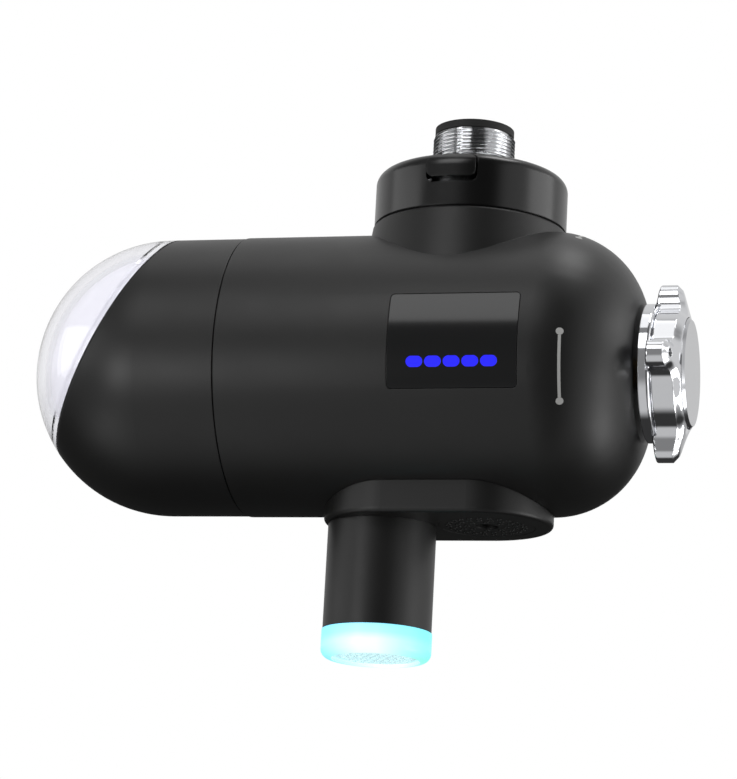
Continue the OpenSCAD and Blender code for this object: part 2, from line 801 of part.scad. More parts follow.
// Pick-up coil on the dry side of the lid
module generator_coil() {
    color("peru") hung() translate([-tube_x, 0, 0]) tube_z(case_r - 1.4, 4, case_top + 2, case_top + 7);
}

// Black end cap, cut off along the slanted window plane
module end_cap() {
    color("#262626") hung() difference() {
        union() {
            dome_form(cap_r, -left_len);
            bar_x(spigot_r, -left_len - 1, -left_len + spigot_len);
        }
        dome_form(cap_in_r, -left_len - 2.5);
        bar_x(spigot_in_r, -left_len - 4, -left_len + spigot_len + 1);
        window_side(window_rise - gasket_t/2);
        difference() {
            bar_x(spigot_r + 1, cap_seal_x - 0.8, cap_seal_x + 0.8);
            bar_x(spigot_r + fit - 2*cap_seal_r - seal_squash, cap_seal_x - 1, cap_seal_x + 1);
        }
        difference() {
            bar_x(cap_r + 1, -left_len - 0.4, -left_len);
            bar_x(cap_r - 0.5, -left_len - 1, -left_len + 1);
        }
    }
}

// Clear domed window with a lip tucked behind the cap's edge
module dome_window() {
    color("lightcyan", 0.4) hung() union() {
        intersection() {
            difference() {
                dome_form(cap_r, -left_len - 4);
                dome_form(cap_in_r, -left_len - 3);
            }
            window_side(window_rise + gasket_t/2);
        }
        intersection() {
            difference() {
                dome_form(cap_in_r - skin, -left_len - 4);
                dome_form(cap_in_r - 1, -left_len - 3);
            }
            difference() {
                window_side(window_rise - 3);
                window_side(window_rise + 2.5);
            }
        }
        intersection() {
            difference() {
                dome_form(cap_in_r + 0.3, -left_len - 4);
                dome_form(cap_in_r - 0.3, -left_len - 3);
            }
            difference() {
                window_side(window_rise + gasket_t/2);
                window_side(window_rise + 2.4);
            }
        }
    }
}

// Gasket between the window and the cap
module window_gasket() {
    color("black") hung() intersection() {
        difference() {
            dome_form(cap_r - 0.15, -left_len - 4);
            dome_form(cap_in_r + 0.05, -left_len - 3);
        }
        difference() {
            window_side(window_rise - gasket_t/2);
            window_side(window_rise + gasket_t/2);
        }
    }
}

// Seal on the cap's spigot
module cap_seal() {
    color("dimgray") hung() translate([cap_seal_x, 0, 0]) along_x()
        o_ring(rebate_r - cap_seal_r - seal_squash, cap_seal_r);
}

// White domed shell of the filter cartridge
module canister() {
    color("white") hung() difference() {
        dome_form(canister_r, canister_end);
        dome_form(canister_in_r, canister_end + 1);
    }
}

// Inner end of the cartridge with its inlet holes and outlet nipple
module canister_plate() {
    plug_in = canister_in_r - fit;
    hole_ring = (plug_in + wrap_r)/2;
    color("whitesmoke") hung() difference() {
        union() {
            bar_x(canister_r, canister_end, plate_x);
            bar_x(plug_in, canister_end - plate_plug, canister_end + 0.1);
            bar_x(nipple_d/2, plate_x - 0.5, plate_x + nipple_len);
        }
        bar_x(nipple_d/2 - 2.6, -big, plate_x + nipple_len + 1);
        for (i = [0:15]) rotate([22.5*i, 0, 0]) translate([0, 0, hole_ring])
            bar_x(0.6, canister_end - plate_plug - 1, plate_x + 1);
        for (x = [plate_x + 1.8, plate_x + 4.4]) difference() {
            bar_x(nipple_d/2 + 1, x, x + 1.7);
            bar_x(nipple_d/2 - 1.4, x - 1, x + 3);
        }
    }
}

// Two seals on the cartridge's nipple
module nipple_seals() {
    color("dimgray") hung() for (x = [plate_x + 2.65, plate_x + 5.25])
        translate([x, 0, 0]) along_x() o_ring(socket_r - seal_squash - 0.82, 0.82);
}

// Pleated-look sediment sleeve around the carbon
module sediment_wrap() {
    color("white") hung() difference() {
        bar_x(wrap_r, carbon_left, carbon_right);
        bar_x(carbon_r + skin, carbon_left - 1, carbon_right + 1);
    }
}

// Hollow activated carbon block
module carbon_block() {
    color("#1c1c1c") hung() difference() {
        bar_x(carbon_r, carbon_left, carbon_right);
        bar_x(core_r + fit, carbon_left - 1, carbon_right + 1);
    }
}

// Perforated tube in the middle of the carbon block
module core_tube() {
    rows = floor((carbon_right - carbon_left - 6)/8);
    color("gainsboro") hung() difference() {
        bar_x(core_r, carbon_left, carbon_right);
        bar_x(core_r - core_wall, carbon_left - 1, carbon_right + 1);
        for (row = [0:rows - 1], side = [0, 90])
            translate([carbon_right - 7 - 8*row, 0, 0]) rotate([side, 0, 0])
                translate([0, 0, -core_r - 1]) cylinder(r = 1.5, h = core_d + 2, $fn = 24);
    }
}

// Disc that closes the far end of the carbon block
module carbon_end_disc() {
    color("whitesmoke") hung() bar_x(wrap_r, disc_left, carbon_left);
}

// Oval base under the barrel that carries both outlets
module outlet_base() {
    color("#2b2b2b") hung() difference() {
        base_form(base_r, base_depth, base_top, base_round);
        bar_x(body_r + skin, -big/2, big/2);
        translate([-tube_x, 0, -big]) cylinder(r = tube_plug_r + fit, h = big);
        translate([shower_x, 0, -base_depth - 1]) cylinder(r = shower_r + fit, h = 1 + shower_recess);
        translate([shower_x, 0, -base_depth - 1]) cylinder(r = shower_r - 1, h = 10);
        for (side = [-1, 1])
            translate([screw_x, side*screw_y, -base_depth + 1.2]) cylinder(r = 1.3, h = 12);
    }
}

// Two screws from inside the barrel into the base
module base_screws() {
    color("silver") hung() for (side = [-1, 1]) translate([screw_x, side*screw_y, 0]) {
        translate([0, 0, -base_depth + 1.6]) cylinder(r = 1.25, h = base_depth - screw_seat - 1.6 + 0.5);
        translate([0, 0, -screw_seat]) difference() {
            cylinder(r = screw_head, h = 1.8);
            translate([0, 0, 0.9]) cylinder(r = 1.1, h = 2, $fn = 6);
        }
    }
}

// Round plate with rings of shower holes about a larger hole
module shower_plate() {
    color("#303030") hung() translate([shower_x, 0, -base_depth + skin]) difference() {
        cylinder(r = shower_r, h = shower_t);
        translate([0, 0, -1]) cylinder(r = centre_hole/2, h = 4);
        for (ring = [1:3], i = [0:8*ring - 1])
            rotate([0, 0, 45*i/ring + 10*ring]) translate([2.8 + 2.4*ring, 0, -1])
                cylinder(r = shower_hole/2, h = 4, $fn = 16);
    }
}

// Round black tube that carries the filtered water and the light ring
module outlet_tube() {
    color("#2b2b2b") hung() translate([-tube_x, 0, 0]) difference() {
        union() {
            translate([0, 0, -tube_drop]) cylinder(r = tube_r, h = tube_drop - base_depth);
            translate([0, 0, -base_depth - 1]) cylinder(r = tube_plug_r, h = tube_plug_h + 1);
        }
        translate([0, 0, -tube_drop - 1]) cylinder(r = tube_in_r, h = tube_drop - base_depth - 2);
        translate([0, 0, -base_depth - 5]) cylinder(r = pipe_r + fit, h = 20);
    }
}

// Inner pipe from the turbine to the nozzle
module pure_pipe() {
    color("whitesmoke") hung() translate([-tube_x, 0, 0])
        tube_z(pipe_r, pipe_bore, -tube_drop - 0.6, -bore_r + 0.4);
}

// Ring-shaped board above the light ring
module led_board() {
    color("seagreen") hung() translate([-tube_x, 0, 0])
        tube_z(tube_in_r - fit, pipe_r + 0.2, -tube_drop + 2.4, -tube_drop + 3.6);
}

// Eight small lamps under the ring board
module ring_leds() {
    color("cyan") hung() translate([-tube_x, 0, 0]) for (i = [0:7]) rotate([0, 0, 22.5 + 45*i])
        translate([10.2, -1.2, -tube_drop + 1.3]) cube([1.8, 2.4, 1.1]);
}

// Clear ring at the foot of the tube that glows
module led_ring() {
    color("cyan", 0.8) hung() translate([-tube_x, 0, 0]) difference() {
        union() {
            translate([0, 0, -tube_drop - 0.1]) mirror([0, 0, 1]) rounded_top(ring_r, ring_h, ring_round);
            translate([0, 0, -tube_drop - 0.2]) cylinder(r = tube_in_r - fit, h = 1.2);
        }
        translate([0, 0, -big + 5 - tube_drop]) cylinder(r = nozzle_r + fit, h = big);
    }
}

// Nozzle with a grid of water holes
module nozzle_insert() {
    foot = -tube_drop - ring_h + 0.7;
    head = -tube_drop + 0.9;
    color("white") hung() translate([-tube_x, 0, 0]) difference() {
        translate([0, 0, foot]) cylinder(r = nozzle_r, h = head - foot);
        translate([0, 0, foot + 1.4]) cylinder(r = nozzle_r - 1.2, h = head - foot - 3);
        translate([0, 0, foot + 2]) cylinder(r = pipe_r + fit, h = big);
        for (ring = [0:4], i = [0:max(0, 6*ring - 1)])
            rotate([0, 0, ring == 0 ? 0 : 60*i/ring])
                translate([2.1*ring, 0, foot - 1]) cylinder(r = 0.7, h = 4, $fn = 16);
    }
}

// Curved smoked lens, flush with the barrel
module display_lens() {
    color("#101820") hung() difference() {
        intersection() {
            facing_front(lens_x, 0, 0, body_r + 2) rounded_plate(lens_w, lens_h, 1);
            difference() {
                bar_x(body_r, -big/2, big/2);
                bar_x(body_r - lens_t, -big/2, big/2);
            }
        }
        level_lights(0.04);
    }
}

// Oval outlines of the level lights, as prisms through the lens
module level_lights(extra) {
    for (i = [0:bar_count - 1])
        facing_front(lens_x + (i - (bar_count - 1)/2)*bar_pitch, -bar_drop, board_y + 0.1, body_r + 3)
            rounded_plate(bar_w + 2*extra, bar_h + 2*extra, bar_h/2 + extra - 0.01);
}

// Light guides from the board to the face of the lens
module light_pipes() {
    color("blue") hung() intersection() {
        level_lights(0);
        bar_x(body_r - 0.02, -big/2, big/2);
    }
}

// Circuit board behind the lens
module display_board() {
    color("seagreen") hung() translate([lens_x, -board_y, 0]) difference() {
        translate([-board_w/2, 0, -board_h/2]) cube([board_w, board_t, board_h]);
        for (x = [-1, 1], z = [-1, 1])
            translate([(board_w/2 - 2)*x, -1, (board_h/2 - 2)*z]) rotate([-90, 0, 0])
                cylinder(r = 1, h = board_t + 2);
    }
}

spout_adapter();
inlet_washer();
inlet_screen();
adapter_seal();
main_housing();
swivel_socket();
collar_ring();
latch_button();
latch_plate();
latch_springs();
manifold();
fixed_disc();
moving_disc();
valve_bonnet();
valve_spindle();
spindle_seals();
knob_skirt();
knob_handle();
knob_screw();
knob_cap();
bulkhead();
turbine_case();
turbine_lid();
turbine_pin();
turbine_wheel();
rotor_magnet();
generator_coil();
end_cap();
dome_window();
window_gasket();
cap_seal();
canister();
canister_plate();
nipple_seals();
sediment_wrap();
carbon_block();
core_tube();
carbon_end_disc();
outlet_base();
base_screws();
shower_plate();
outlet_tube();
pure_pipe();
led_board();
ring_leds();
led_ring();
nozzle_insert();
display_lens();
light_pipes();
display_board();
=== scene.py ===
import json
import math

import bpy
import bmesh
from mathutils import Matrix, Vector


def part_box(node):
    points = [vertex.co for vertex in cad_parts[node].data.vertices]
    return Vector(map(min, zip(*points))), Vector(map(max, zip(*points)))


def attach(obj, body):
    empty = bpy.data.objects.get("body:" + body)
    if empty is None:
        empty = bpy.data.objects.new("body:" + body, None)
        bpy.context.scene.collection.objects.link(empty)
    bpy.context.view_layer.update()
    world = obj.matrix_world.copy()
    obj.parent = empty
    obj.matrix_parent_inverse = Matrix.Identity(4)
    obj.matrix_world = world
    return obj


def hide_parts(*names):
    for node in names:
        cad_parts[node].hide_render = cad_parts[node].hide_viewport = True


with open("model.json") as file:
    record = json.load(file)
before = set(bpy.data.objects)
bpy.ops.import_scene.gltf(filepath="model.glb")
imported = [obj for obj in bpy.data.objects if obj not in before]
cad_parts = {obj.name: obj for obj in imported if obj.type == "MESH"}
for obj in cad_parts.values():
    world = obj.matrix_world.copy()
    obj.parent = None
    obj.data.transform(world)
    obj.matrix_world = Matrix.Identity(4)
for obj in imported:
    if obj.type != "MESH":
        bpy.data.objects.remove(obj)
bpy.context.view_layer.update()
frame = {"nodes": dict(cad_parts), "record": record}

MM = 0.001
NODES = frame["nodes"]


def box_mm(node):
    """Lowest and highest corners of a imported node, in millimetres."""
    return tuple(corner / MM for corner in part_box(node))


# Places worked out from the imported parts, in millimetres
HOUSING_LOW, HOUSING_HIGH = box_mm("main_housing")
LENS_LOW, LENS_HIGH = box_mm("display_lens")
TUBE_LOW, TUBE_HIGH = box_mm("outlet_tube")
PLATE_LOW, PLATE_HIGH = box_mm("shower_plate")
RING_LOW, RING_HIGH = box_mm("led_ring")
ADAPTER_LOW, ADAPTER_HIGH = box_mm("spout_adapter")
AXIS_Z = (LENS_LOW.z + LENS_HIGH.z) / 2
BARREL_R = -HOUSING_LOW.y
BARREL_END = HOUSING_HIGH.x
TUBE_X = (TUBE_LOW.x + TUBE_HIGH.x) / 2
SHOWER_X = (PLATE_LOW.x + PLATE_HIGH.x) / 2
HANDLE_TIP_R = box_mm("knob_handle")[1].z - AXIS_Z

# Rounded end of the barrel, as in the solid
END_ROUND = 24.4
KNOB_SEAT_R = 18.5
END_CENTRE_R = BARREL_R - END_ROUND
END_CENTRE_X = BARREL_END - math.sqrt(END_ROUND**2 - (KNOB_SEAT_R - END_CENTRE_R) ** 2)


# Nodes and shared parts of materials

# Sockets of a Mix node that mixes colours
MIX_SHARE, MIX_A, MIX_B, MIX_COLOR = 0, 6, 7, 2


def srgb(code):
    """A hex colour as linear values."""
    values = [int(code[i:i + 2], 16) / 255 for i in (1, 3, 5)]
    return tuple(v / 12.92 if v <= 0.04045 else ((v + 0.055) / 1.055) ** 2.4 for v in values) + (1.0,)


def add(tree, kind, settings=None, links=None):
    """Adds a node, sets its properties and sockets, and links sockets. A socket goes by name or number."""
    node = tree.nodes.new(kind)
    for key, value in (settings or {}).items():
        if isinstance(key, int) or key in node.inputs:
            node.inputs[key].default_value = value
        else:
            setattr(node, key, value)
    for key, source in (links or {}).items():
        tree.links.new(source, node.inputs[key])
    return node


def finish_of(name, color, roughness, metallic=0.0, ior=1.5, more=None):
    """A new material with one Principled shader and its constants."""
    mat = bpy.data.materials.new(name)
    mat.use_nodes = True
    shader = mat.node_tree.nodes["Principled BSDF"]
    constants = {"Base Color": srgb(color), "Roughness": roughness, "Metallic": metallic, "IOR": ior}
    for socket, value in {**constants, **(more or {})}.items():
        shader.inputs[socket].default_value = value
    return mat, mat.node_tree, shader


def grain(tree, shader, size_mm, depth_mm, edge_mm=0.25, detail=2.0):
    """Moulded grain as bump, over edges that are rounded to the eye by edge_mm."""
    place = add(tree, "ShaderNodeTexCoord").outputs["Object"]
    noise = add(tree, "ShaderNodeTexNoise", {"Scale": 1 / (size_mm * MM), "Detail": detail},
                {"Vector": place})
    edge = add(tree, "ShaderNodeBevel", {"samples": 4, "Radius": edge_mm * MM})
    bump = add(tree, "ShaderNodeBump", {"Strength": 1.0, "Distance": depth_mm * MM},
               {"Height": noise.outputs[0], "Normal": edge.outputs[0]})
    tree.links.new(bump.outputs[0], shader.inputs["Normal"])
    return place


# Noise mostly lies between these values
NOISE_LOW, NOISE_HIGH = 0.3, 0.7


def patches(tree, place, size_mm, low=0.0, high=1.0):
    """Slow noise over patches of that size, mapped from low to high."""
    noise = add(tree, "ShaderNodeTexNoise", {"Scale": 1 / (size_mm * MM), "Detail": 3.0}, {"Vector": place})
    return add(tree, "ShaderNodeMapRange", {
        "From Min": NOISE_LOW, "From Max": NOISE_HIGH, "To Min": low, "To Max": high},
        {"Value": noise.outputs[0]}).outputs[0]


def uneven_gloss(tree, shader, place, size_mm, low, high):
    """Roughness that drifts from low to high over patches of that size."""
    tree.links.new(patches(tree, place, size_mm, low, high), shader.inputs["Roughness"])


def uneven_color(tree, shader, share, low, high):
    """Base colour that goes from low to high with share."""
    mix = add(tree, "ShaderNodeMix", {"data_type": "RGBA", MIX_A: srgb(low), MIX_B: srgb(high)},
              {MIX_SHARE: share})
    tree.links.new(mix.outputs[MIX_COLOR], shader.inputs["Base Color"])


def streaks(tree, shader, stretch, grain_mm, low, high):
    """Marks of brushing or rolling: noise drawn out along one axis, as roughness from low to high."""
    place = add(tree, "ShaderNodeTexCoord").outputs["Object"]
    drawn = add(tree, "ShaderNodeMapping", {"Scale": stretch}, {"Vector": place})
    noise = add(tree, "ShaderNodeTexNoise", {"Scale": 1 / (grain_mm * MM), "Detail": 2.0},
                {"Vector": drawn.outputs[0]})
    rough = add(tree, "ShaderNodeMapRange", {"To Min": low, "To Max": high}, {"Value": noise.outputs[0]})
    tree.links.new(rough.outputs[0], shader.inputs["Roughness"])
    return noise.outputs[0]


# Materials

def matte_black_abs():
    # ABS moulded against a fine spark-eroded tool: black with a soft, slightly uneven sheen
    mat, tree, shader = finish_of("matte_black_abs", "#151515", 0.42, ior=1.52)
    place = grain(tree, shader, 0.35, 0.004, 0.3)
    uneven_gloss(tree, shader, place, 18, 0.39, 0.45)
    uneven_color(tree, shader, patches(tree, place, 30), "#131313", "#181817")
    return mat


def satin_black_abs():
    # ABS from a finer tool: the collar and button throw clearer, smoother streaks of light
    mat, tree, shader = finish_of("satin_black_abs", "#101010", 0.24, ior=1.53)
    place = grain(tree, shader, 0.5, 0.0015, 0.3)
    uneven_gloss(tree, shader, place, 14, 0.22, 0.27)
    return mat


def chromed_zinc():
    # Bright chrome over die-cast zinc: a mirror with the faint waves of hand polishing
    mat, tree, shader = finish_of("chromed_zinc", "#E4E5E8", 0.05, metallic=1.0)
    place = grain(tree, shader, 7, 0.012, 0.35, 1.0)
    uneven_gloss(tree, shader, place, 9, 0.04, 0.07)
    return mat


def satin_chromed_zinc():
    # Chrome over zinc that was brushed before plating: a little darker and softer than the handle
    mat, tree, shader = finish_of("satin_chromed_zinc", "#C6C7CA", 0.13, metallic=1.0)
    lines = streaks(tree, shader, (1.0, 1.0, 0.08), 0.6, 0.1, 0.2)
    uneven_color(tree, shader, lines, "#BBBCBF", "#D0D1D4")
    return mat


def chromed_brass():
    # Bright chrome over turned brass: fine rings left by the lathe show round the plug
    mat, tree, shader = finish_of("chromed_brass", "#DFE0E2", 0.08, metallic=1.0)
    place = grain(tree, shader, 0.6, 0.001, 0.15)
    uneven_gloss(tree, shader, place, 4, 0.06, 0.12)
    return mat


def nitrile_rubber():
    # Moulded nitrile rubber: nearly black, dull, with a trace of bloom
    mat, tree, shader = finish_of("nitrile_rubber", "#1A1A1A", 0.7, ior=1.52)
    place = grain(tree, shader, 0.3, 0.006, 0.15)
    uneven_color(tree, shader, patches(tree, place, 2.5), "#171717", "#232322")
    return mat


def stainless_steel():
    # Bright rolled stainless: faint straight streaks of grain
    mat, tree, shader = finish_of("stainless_steel", "#C9CACC", 0.24, metallic=1.0)
    streaks(tree, shader, (1.0, 0.06, 1.0), 0.15, 0.16, 0.34)
    return mat


def turned_brass():
    # Free-turning brass: yellow, with soft lathe sheen
    mat, tree, shader = finish_of("turned_brass", "#C9A45C", 0.26, metallic=1.0)
    place = grain(tree, shader, 0.4, 0.002, 0.15)
    uneven_gloss(tree, shader, place, 3, 0.2, 0.32)
    return mat


def white_abs():
    # Polished white ABS of the cartridge: clean and glossy, with the light soaking in a little
    mat, tree, shader = finish_of("white_abs", "#F4F3F4", 0.3, ior=1.53, more={
        "Subsurface Weight": 0.12, "Subsurface Radius": (0.003, 0.003, 0.003), "Subsurface Scale": 0.4})
    grain(tree, shader, 3, 0.004, 0.3)
    return mat


def natural_acetal():
    # Acetal as moulded: milky off-white, waxy
    mat, tree, shader = finish_of("natural_acetal", "#DCDAD0", 0.42, ior=1.48)
    place = grain(tree, shader, 0.8, 0.004, 0.2)
    uneven_color(tree, shader, patches(tree, place, 12), "#D8D5CA", "#E3E1D9")
    return mat


def lapped_alumina():
    # Alumina ceramic lapped flat: dense ivory with a cold gloss
    mat, tree, shader = finish_of("lapped_alumina", "#E9E4D6", 0.14, ior=1.76)
    grain(tree, shader, 0.3, 0.0008, 0.1)
    return mat


def sintered_ferrite():
    # Pressed and sintered ferrite: dark grey with fine glints
    mat, tree, shader = finish_of("sintered_ferrite", "#35353A", 0.5, metallic=0.3)
    place = grain(tree, shader, 0.25, 0.01, 0.2)
    uneven_color(tree, shader, patches(tree, place, 0.5), "#2B2B30", "#43434A")
    return mat


def enamelled_copper():
    # Winding of enamelled copper wire: close rings of warm metal under clear varnish, with painted shade in
    # the grooves between the turns
    mat, tree, shader = finish_of("enamelled_copper", "#B4683A", 0.3, metallic=0.9)
    place = add(tree, "ShaderNodeTexCoord").outputs["Object"]
    winding_mm = 0.35
    wire = add(tree, "ShaderNodeTexWave", {"Scale": 1 / (winding_mm * MM) / (2 * math.pi),
                                           "bands_direction": "Z"}, {"Vector": place}).outputs[1]
    bump = add(tree, "ShaderNodeBump", {"Strength": 1.0, "Distance": 0.12 * MM}, {"Height": wire})
    tree.links.new(bump.outputs[0], shader.inputs["Normal"])
    # Painted shade: the colour darkens where the wire's bump is low, in the grooves between turns, and
    # lightens on the crests
    uneven_color(tree, shader, wire, "#7E3F1F", "#C7794A")
    return mat


def clear_polycarbonate():
    # Polished polycarbonate: clear with a breath of grey, and lamps shine through to the white shell
    mat, tree, shader = finish_of("clear_polycarbonate", "#F3F3F7", 0.02, ior=1.45,
                                  more={"Transmission Weight": 1.0})
    place = add(tree, "ShaderNodeTexCoord").outputs["Object"]
    noise = add(tree, "ShaderNodeTexNoise", {"Scale": 1 / (14 * MM), "Detail": 1.0}, {"Vector": place})
    bump = add(tree, "ShaderNodeBump", {"Strength": 1.0, "Distance": 0.03 * MM}, {"Height": noise.outputs[0]})
    tree.links.new(bump.outputs[0], shader.inputs["Normal"])
    path = add(tree, "ShaderNodeLightPath")
    see = add(tree, "ShaderNodeBsdfTransparent", {"Color": srgb("#F0F0F4")})
    mix = add(tree, "ShaderNodeMixShader", None,
              {0: path.outputs["Is Shadow Ray"], 1: shader.outputs[0], 2: see.outputs[0]})
    tree.links.new(mix.outputs[0], tree.nodes["Material Output"].inputs["Surface"])
    return mat


# The lit ring's colours from its foot to its root, and its painted shade from its cap side to its knob side:
# white in the middle, darker cyan to teal at the sides that turn away from the front
RING_BY_HEIGHT = ((0.0, "#F4FFFF"), (0.4, "#F0FFFF"), (0.62, "#A8F4FF"), (0.8, "#98EAFF"), (0.93, "#6CCBFA"),
                  (0.975, "#2C78C8"), (1.0, "#123C7C"))
RING_SHADE_BY_SIDE = ((0.0, "#74E0F4"), (0.2, "#B4F6FF"), (0.45, "#F4FFFF"), (0.62, "#F4FFFF"), (0.84, "#AFF8EC"),
                (1.0, "#6CE8D2"))


def frosted_light_guide():
    # Frosted acrylic over lamps: almost white low down, blue at its root, with painted shade that turns its
    # sides cyan to teal
    mat, tree, shader = finish_of("frosted_light_guide", "#BFF3FF", 0.35, ior=1.49)
    place = add(tree, "ShaderNodeTexCoord").outputs["Object"]
    split = add(tree, "ShaderNodeSeparateXYZ", None, {"Vector": place})
    reach = (RING_HIGH.x - RING_LOW.x) / 2 * MM
    glow_and_shade_ramps = []
    # The first ramp colours the glow by height; the second is painted shade, darker cyan to teal towards both
    # sides of the ring
    for axis, low, high, stops in ((2, RING_LOW.z * MM, RING_HIGH.z * MM, RING_BY_HEIGHT),
                                   (0, TUBE_X * MM - reach, TUBE_X * MM + reach, RING_SHADE_BY_SIDE)):
        share = add(tree, "ShaderNodeMapRange", {"From Min": low, "From Max": high},
                    {"Value": split.outputs[axis]})
        ramp = add(tree, "ShaderNodeValToRGB", None, {"Fac": share.outputs[0]})
        bands = ramp.color_ramp.elements
        for end, (spot, code) in zip(bands, (stops[0], stops[-1])):
            end.position, end.color = spot, srgb(code)
        for spot, code in stops[1:-1]:
            bands.new(spot).color = srgb(code)
        glow_and_shade_ramps.append(ramp.outputs[0])
    glow_and_side_shade = add(tree, "ShaderNodeMix", {"data_type": "RGBA", "blend_type": "MULTIPLY", MIX_SHARE: 1.0},
               {MIX_A: glow_and_shade_ramps[0], MIX_B: glow_and_shade_ramps[1]})
    tree.links.new(glow_and_side_shade.outputs[MIX_COLOR], shader.inputs["Emission Color"])
    shader.inputs["Emission Strength"].default_value = 0.95
    return mat


def lit_white_abs():
    # White ABS nozzle with the ring's light soaking through it
    mat, tree, shader = finish_of("lit_white_abs", "#F4F8F8", 0.35, ior=1.53, more={
        "Emission Strength": 0.55, "Emission Color": srgb("#C4F8FF")})
    grain(tree, shader, 3, 0.004, 0.2)
    return mat


def cyan_lamp():
    # Small lamp lit cyan
    mat, tree, shader = finish_of("cyan_lamp", "#D8FBFF", 0.3, more={
        "Emission Strength": 2.0, "Emission Color": srgb("#9BF3FF")})
    grain(tree, shader, 0.5, 0.002, 0.1)
    return mat


def smoked_acrylic():
    # Smoked acrylic as moulded: black glass to the eye, with reflections a little soft at their edges
    mat, tree, shader = finish_of("smoked_acrylic", "#090A0B", 0.15, ior=1.49)
    grain(tree, shader, 9, 0.002, 0.12, 1.0)
    return mat


def blue_light_guide():
    # Acrylic guide lit deep blue from behind
    mat, tree, shader = finish_of("blue_light_guide", "#1616A0", 0.2, more={
        "Emission Strength": 0.86, "Emission Color": srgb("#2422FF")})
    grain(tree, shader, 0.5, 0.001, 0.05)
    return mat


def circuit_board():
    # Glass epoxy under green solder resist, with copper tracks as faint lighter lines
    mat, tree, shader = finish_of("circuit_board", "#14593A", 0.35, ior=1.5)
    place = add(tree, "ShaderNodeTexCoord").outputs["Object"]
    tracks = add(tree, "ShaderNodeTexBrick", {
        "Scale": 1 / (14 * MM), "Mortar Size": 0.03, "Color1": srgb("#14593A"), "Color2": srgb("#124F34"),
        "Mortar": srgb("#2E8A58")}, {"Vector": place})
    tree.links.new(tracks.outputs[0], shader.inputs["Base Color"])
    return mat


def carbon_grain():
    # Sintered activated carbon: dull black grit
    mat, tree, shader = finish_of("carbon_grain", "#101010", 0.85)
    place = grain(tree, shader, 0.5, 0.12, 0.2, 4.0)
    uneven_color(tree, shader, patches(tree, place, 0.8), "#0B0B0B", "#242424")
    return mat


def spun_fleece():
    # Spun polypropylene: matted white fibres
    mat, tree, shader = finish_of("spun_fleece", "#EDEDE8", 0.9, more={"Sheen Weight": 0.3})
    place = add(tree, "ShaderNodeTexCoord").outputs["Object"]
    drawn = add(tree, "ShaderNodeMapping", {"Scale": (1.0, 0.2, 0.5)}, {"Vector": place})
    noise = add(tree, "ShaderNodeTexNoise", {"Scale": 1 / (0.4 * MM), "Detail": 5.0},
                {"Vector": drawn.outputs[0]})
    bump = add(tree, "ShaderNodeBump", {"Strength": 1.0, "Distance": 0.15 * MM}, {"Height": noise.outputs[0]})
    tree.links.new(bump.outputs[0], shader.inputs["Normal"])
    return mat


def white_pad_print():
    # Pad-printed ink: thin, flat and slightly chalky
    mat, tree, shader = finish_of("white_pad_print", "#C9C9C7", 0.55)
    grain(tree, shader, 0.2, 0.002, 0.02)
    return mat


FINISHES = {
    "matte_black_abs": matte_black_abs,
    "satin_black_abs": satin_black_abs,
    "chrome_brass": chromed_brass,
    "chromed_zinc": chromed_zinc,
    "black_rubber": nitrile_rubber,
    "stainless_steel": stainless_steel,
    "spindle_brass": turned_brass,
    "white_abs": white_abs,
    "acetal": natural_acetal,
    "alumina_ceramic": lapped_alumina,
    "ferrite": sintered_ferrite,
    "copper_wire": enamelled_copper,
    "clear_polycarbonate": clear_polycarbonate,
    "glow_ring": frosted_light_guide,
    "ring_lamp": cyan_lamp,
    "smoked_acrylic": smoked_acrylic,
    "blue_light": blue_light_guide,
    "circuit_board": circuit_board,
    "activated_carbon": carbon_grain,
    "sediment_fleece": spun_fleece,
}
MATERIALS = {slot: make() for slot, make in FINISHES.items()}
PAD_PRINT = white_pad_print()
OWN_FINISH = {"knob_cap": satin_chromed_zinc(), "nozzle_insert": lit_white_abs()}


def dress_the_cad_nodes():
    """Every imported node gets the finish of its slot, or its own where it has one."""
    for part in frame["record"]["subparts"]:
        mesh = NODES[part["node"]].data
        mesh.materials.clear()
        mesh.materials.append(OWN_FINISH.get(part["node"], MATERIALS[part["material_slot"]]))


# Pieces

SMOOTH_UP_TO = math.radians(38)
DOUBLES_WITHIN = 1e-7


def settle(mesh):
    """Merges doubles, turns every face outwards and keeps edges over 38 degrees crisp."""
    work = bmesh.new()
    work.from_mesh(mesh)
    bmesh.ops.remove_doubles(work, verts=work.verts, dist=DOUBLES_WITHIN)
    bmesh.ops.recalc_face_normals(work, faces=work.faces)
    work.to_mesh(mesh)
    work.free()
    mesh.shade_smooth()
    mesh.set_sharp_from_angle(angle=SMOOTH_UP_TO)


def declare(piece, slot, body, replaced=(), finish=None):
    """Gives a piece its finish, hangs it on the empty of the body it moves with and hides the nodes it stands
    for.
    """
    piece.data.materials.clear()
    piece.data.materials.append(finish or MATERIALS[slot])
    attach(piece, body)
    for node in replaced:
        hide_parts(node)
    return piece


def object_of(name, data):
    """A new object at the origin that holds a mesh, a lamp or a camera."""
    made = bpy.data.objects.new(name, data)
    bpy.context.scene.collection.objects.link(made)
    return made


def piece_of(name, points, faces):
    """A new piece from points in millimetres."""
    mesh = bpy.data.meshes.new(name)
    mesh.from_pydata([tuple(value * MM for value in point) for point in points], [], faces)
    settle(mesh)
    return object_of(name, mesh)


def skin_of_rows(rows):
    """Quads between loops of equally many points. The last loop joins the first."""
    count = len(rows[0])
    points = [point for row in rows for point in row]
    faces = []
    for i in range(len(rows)):
        low, high = i * count, (i + 1) % len(rows) * count
        for k in range(count):
            faces.append((low + k, low + (k + 1) % count, high + (k + 1) % count, high + k))
    return points, faces


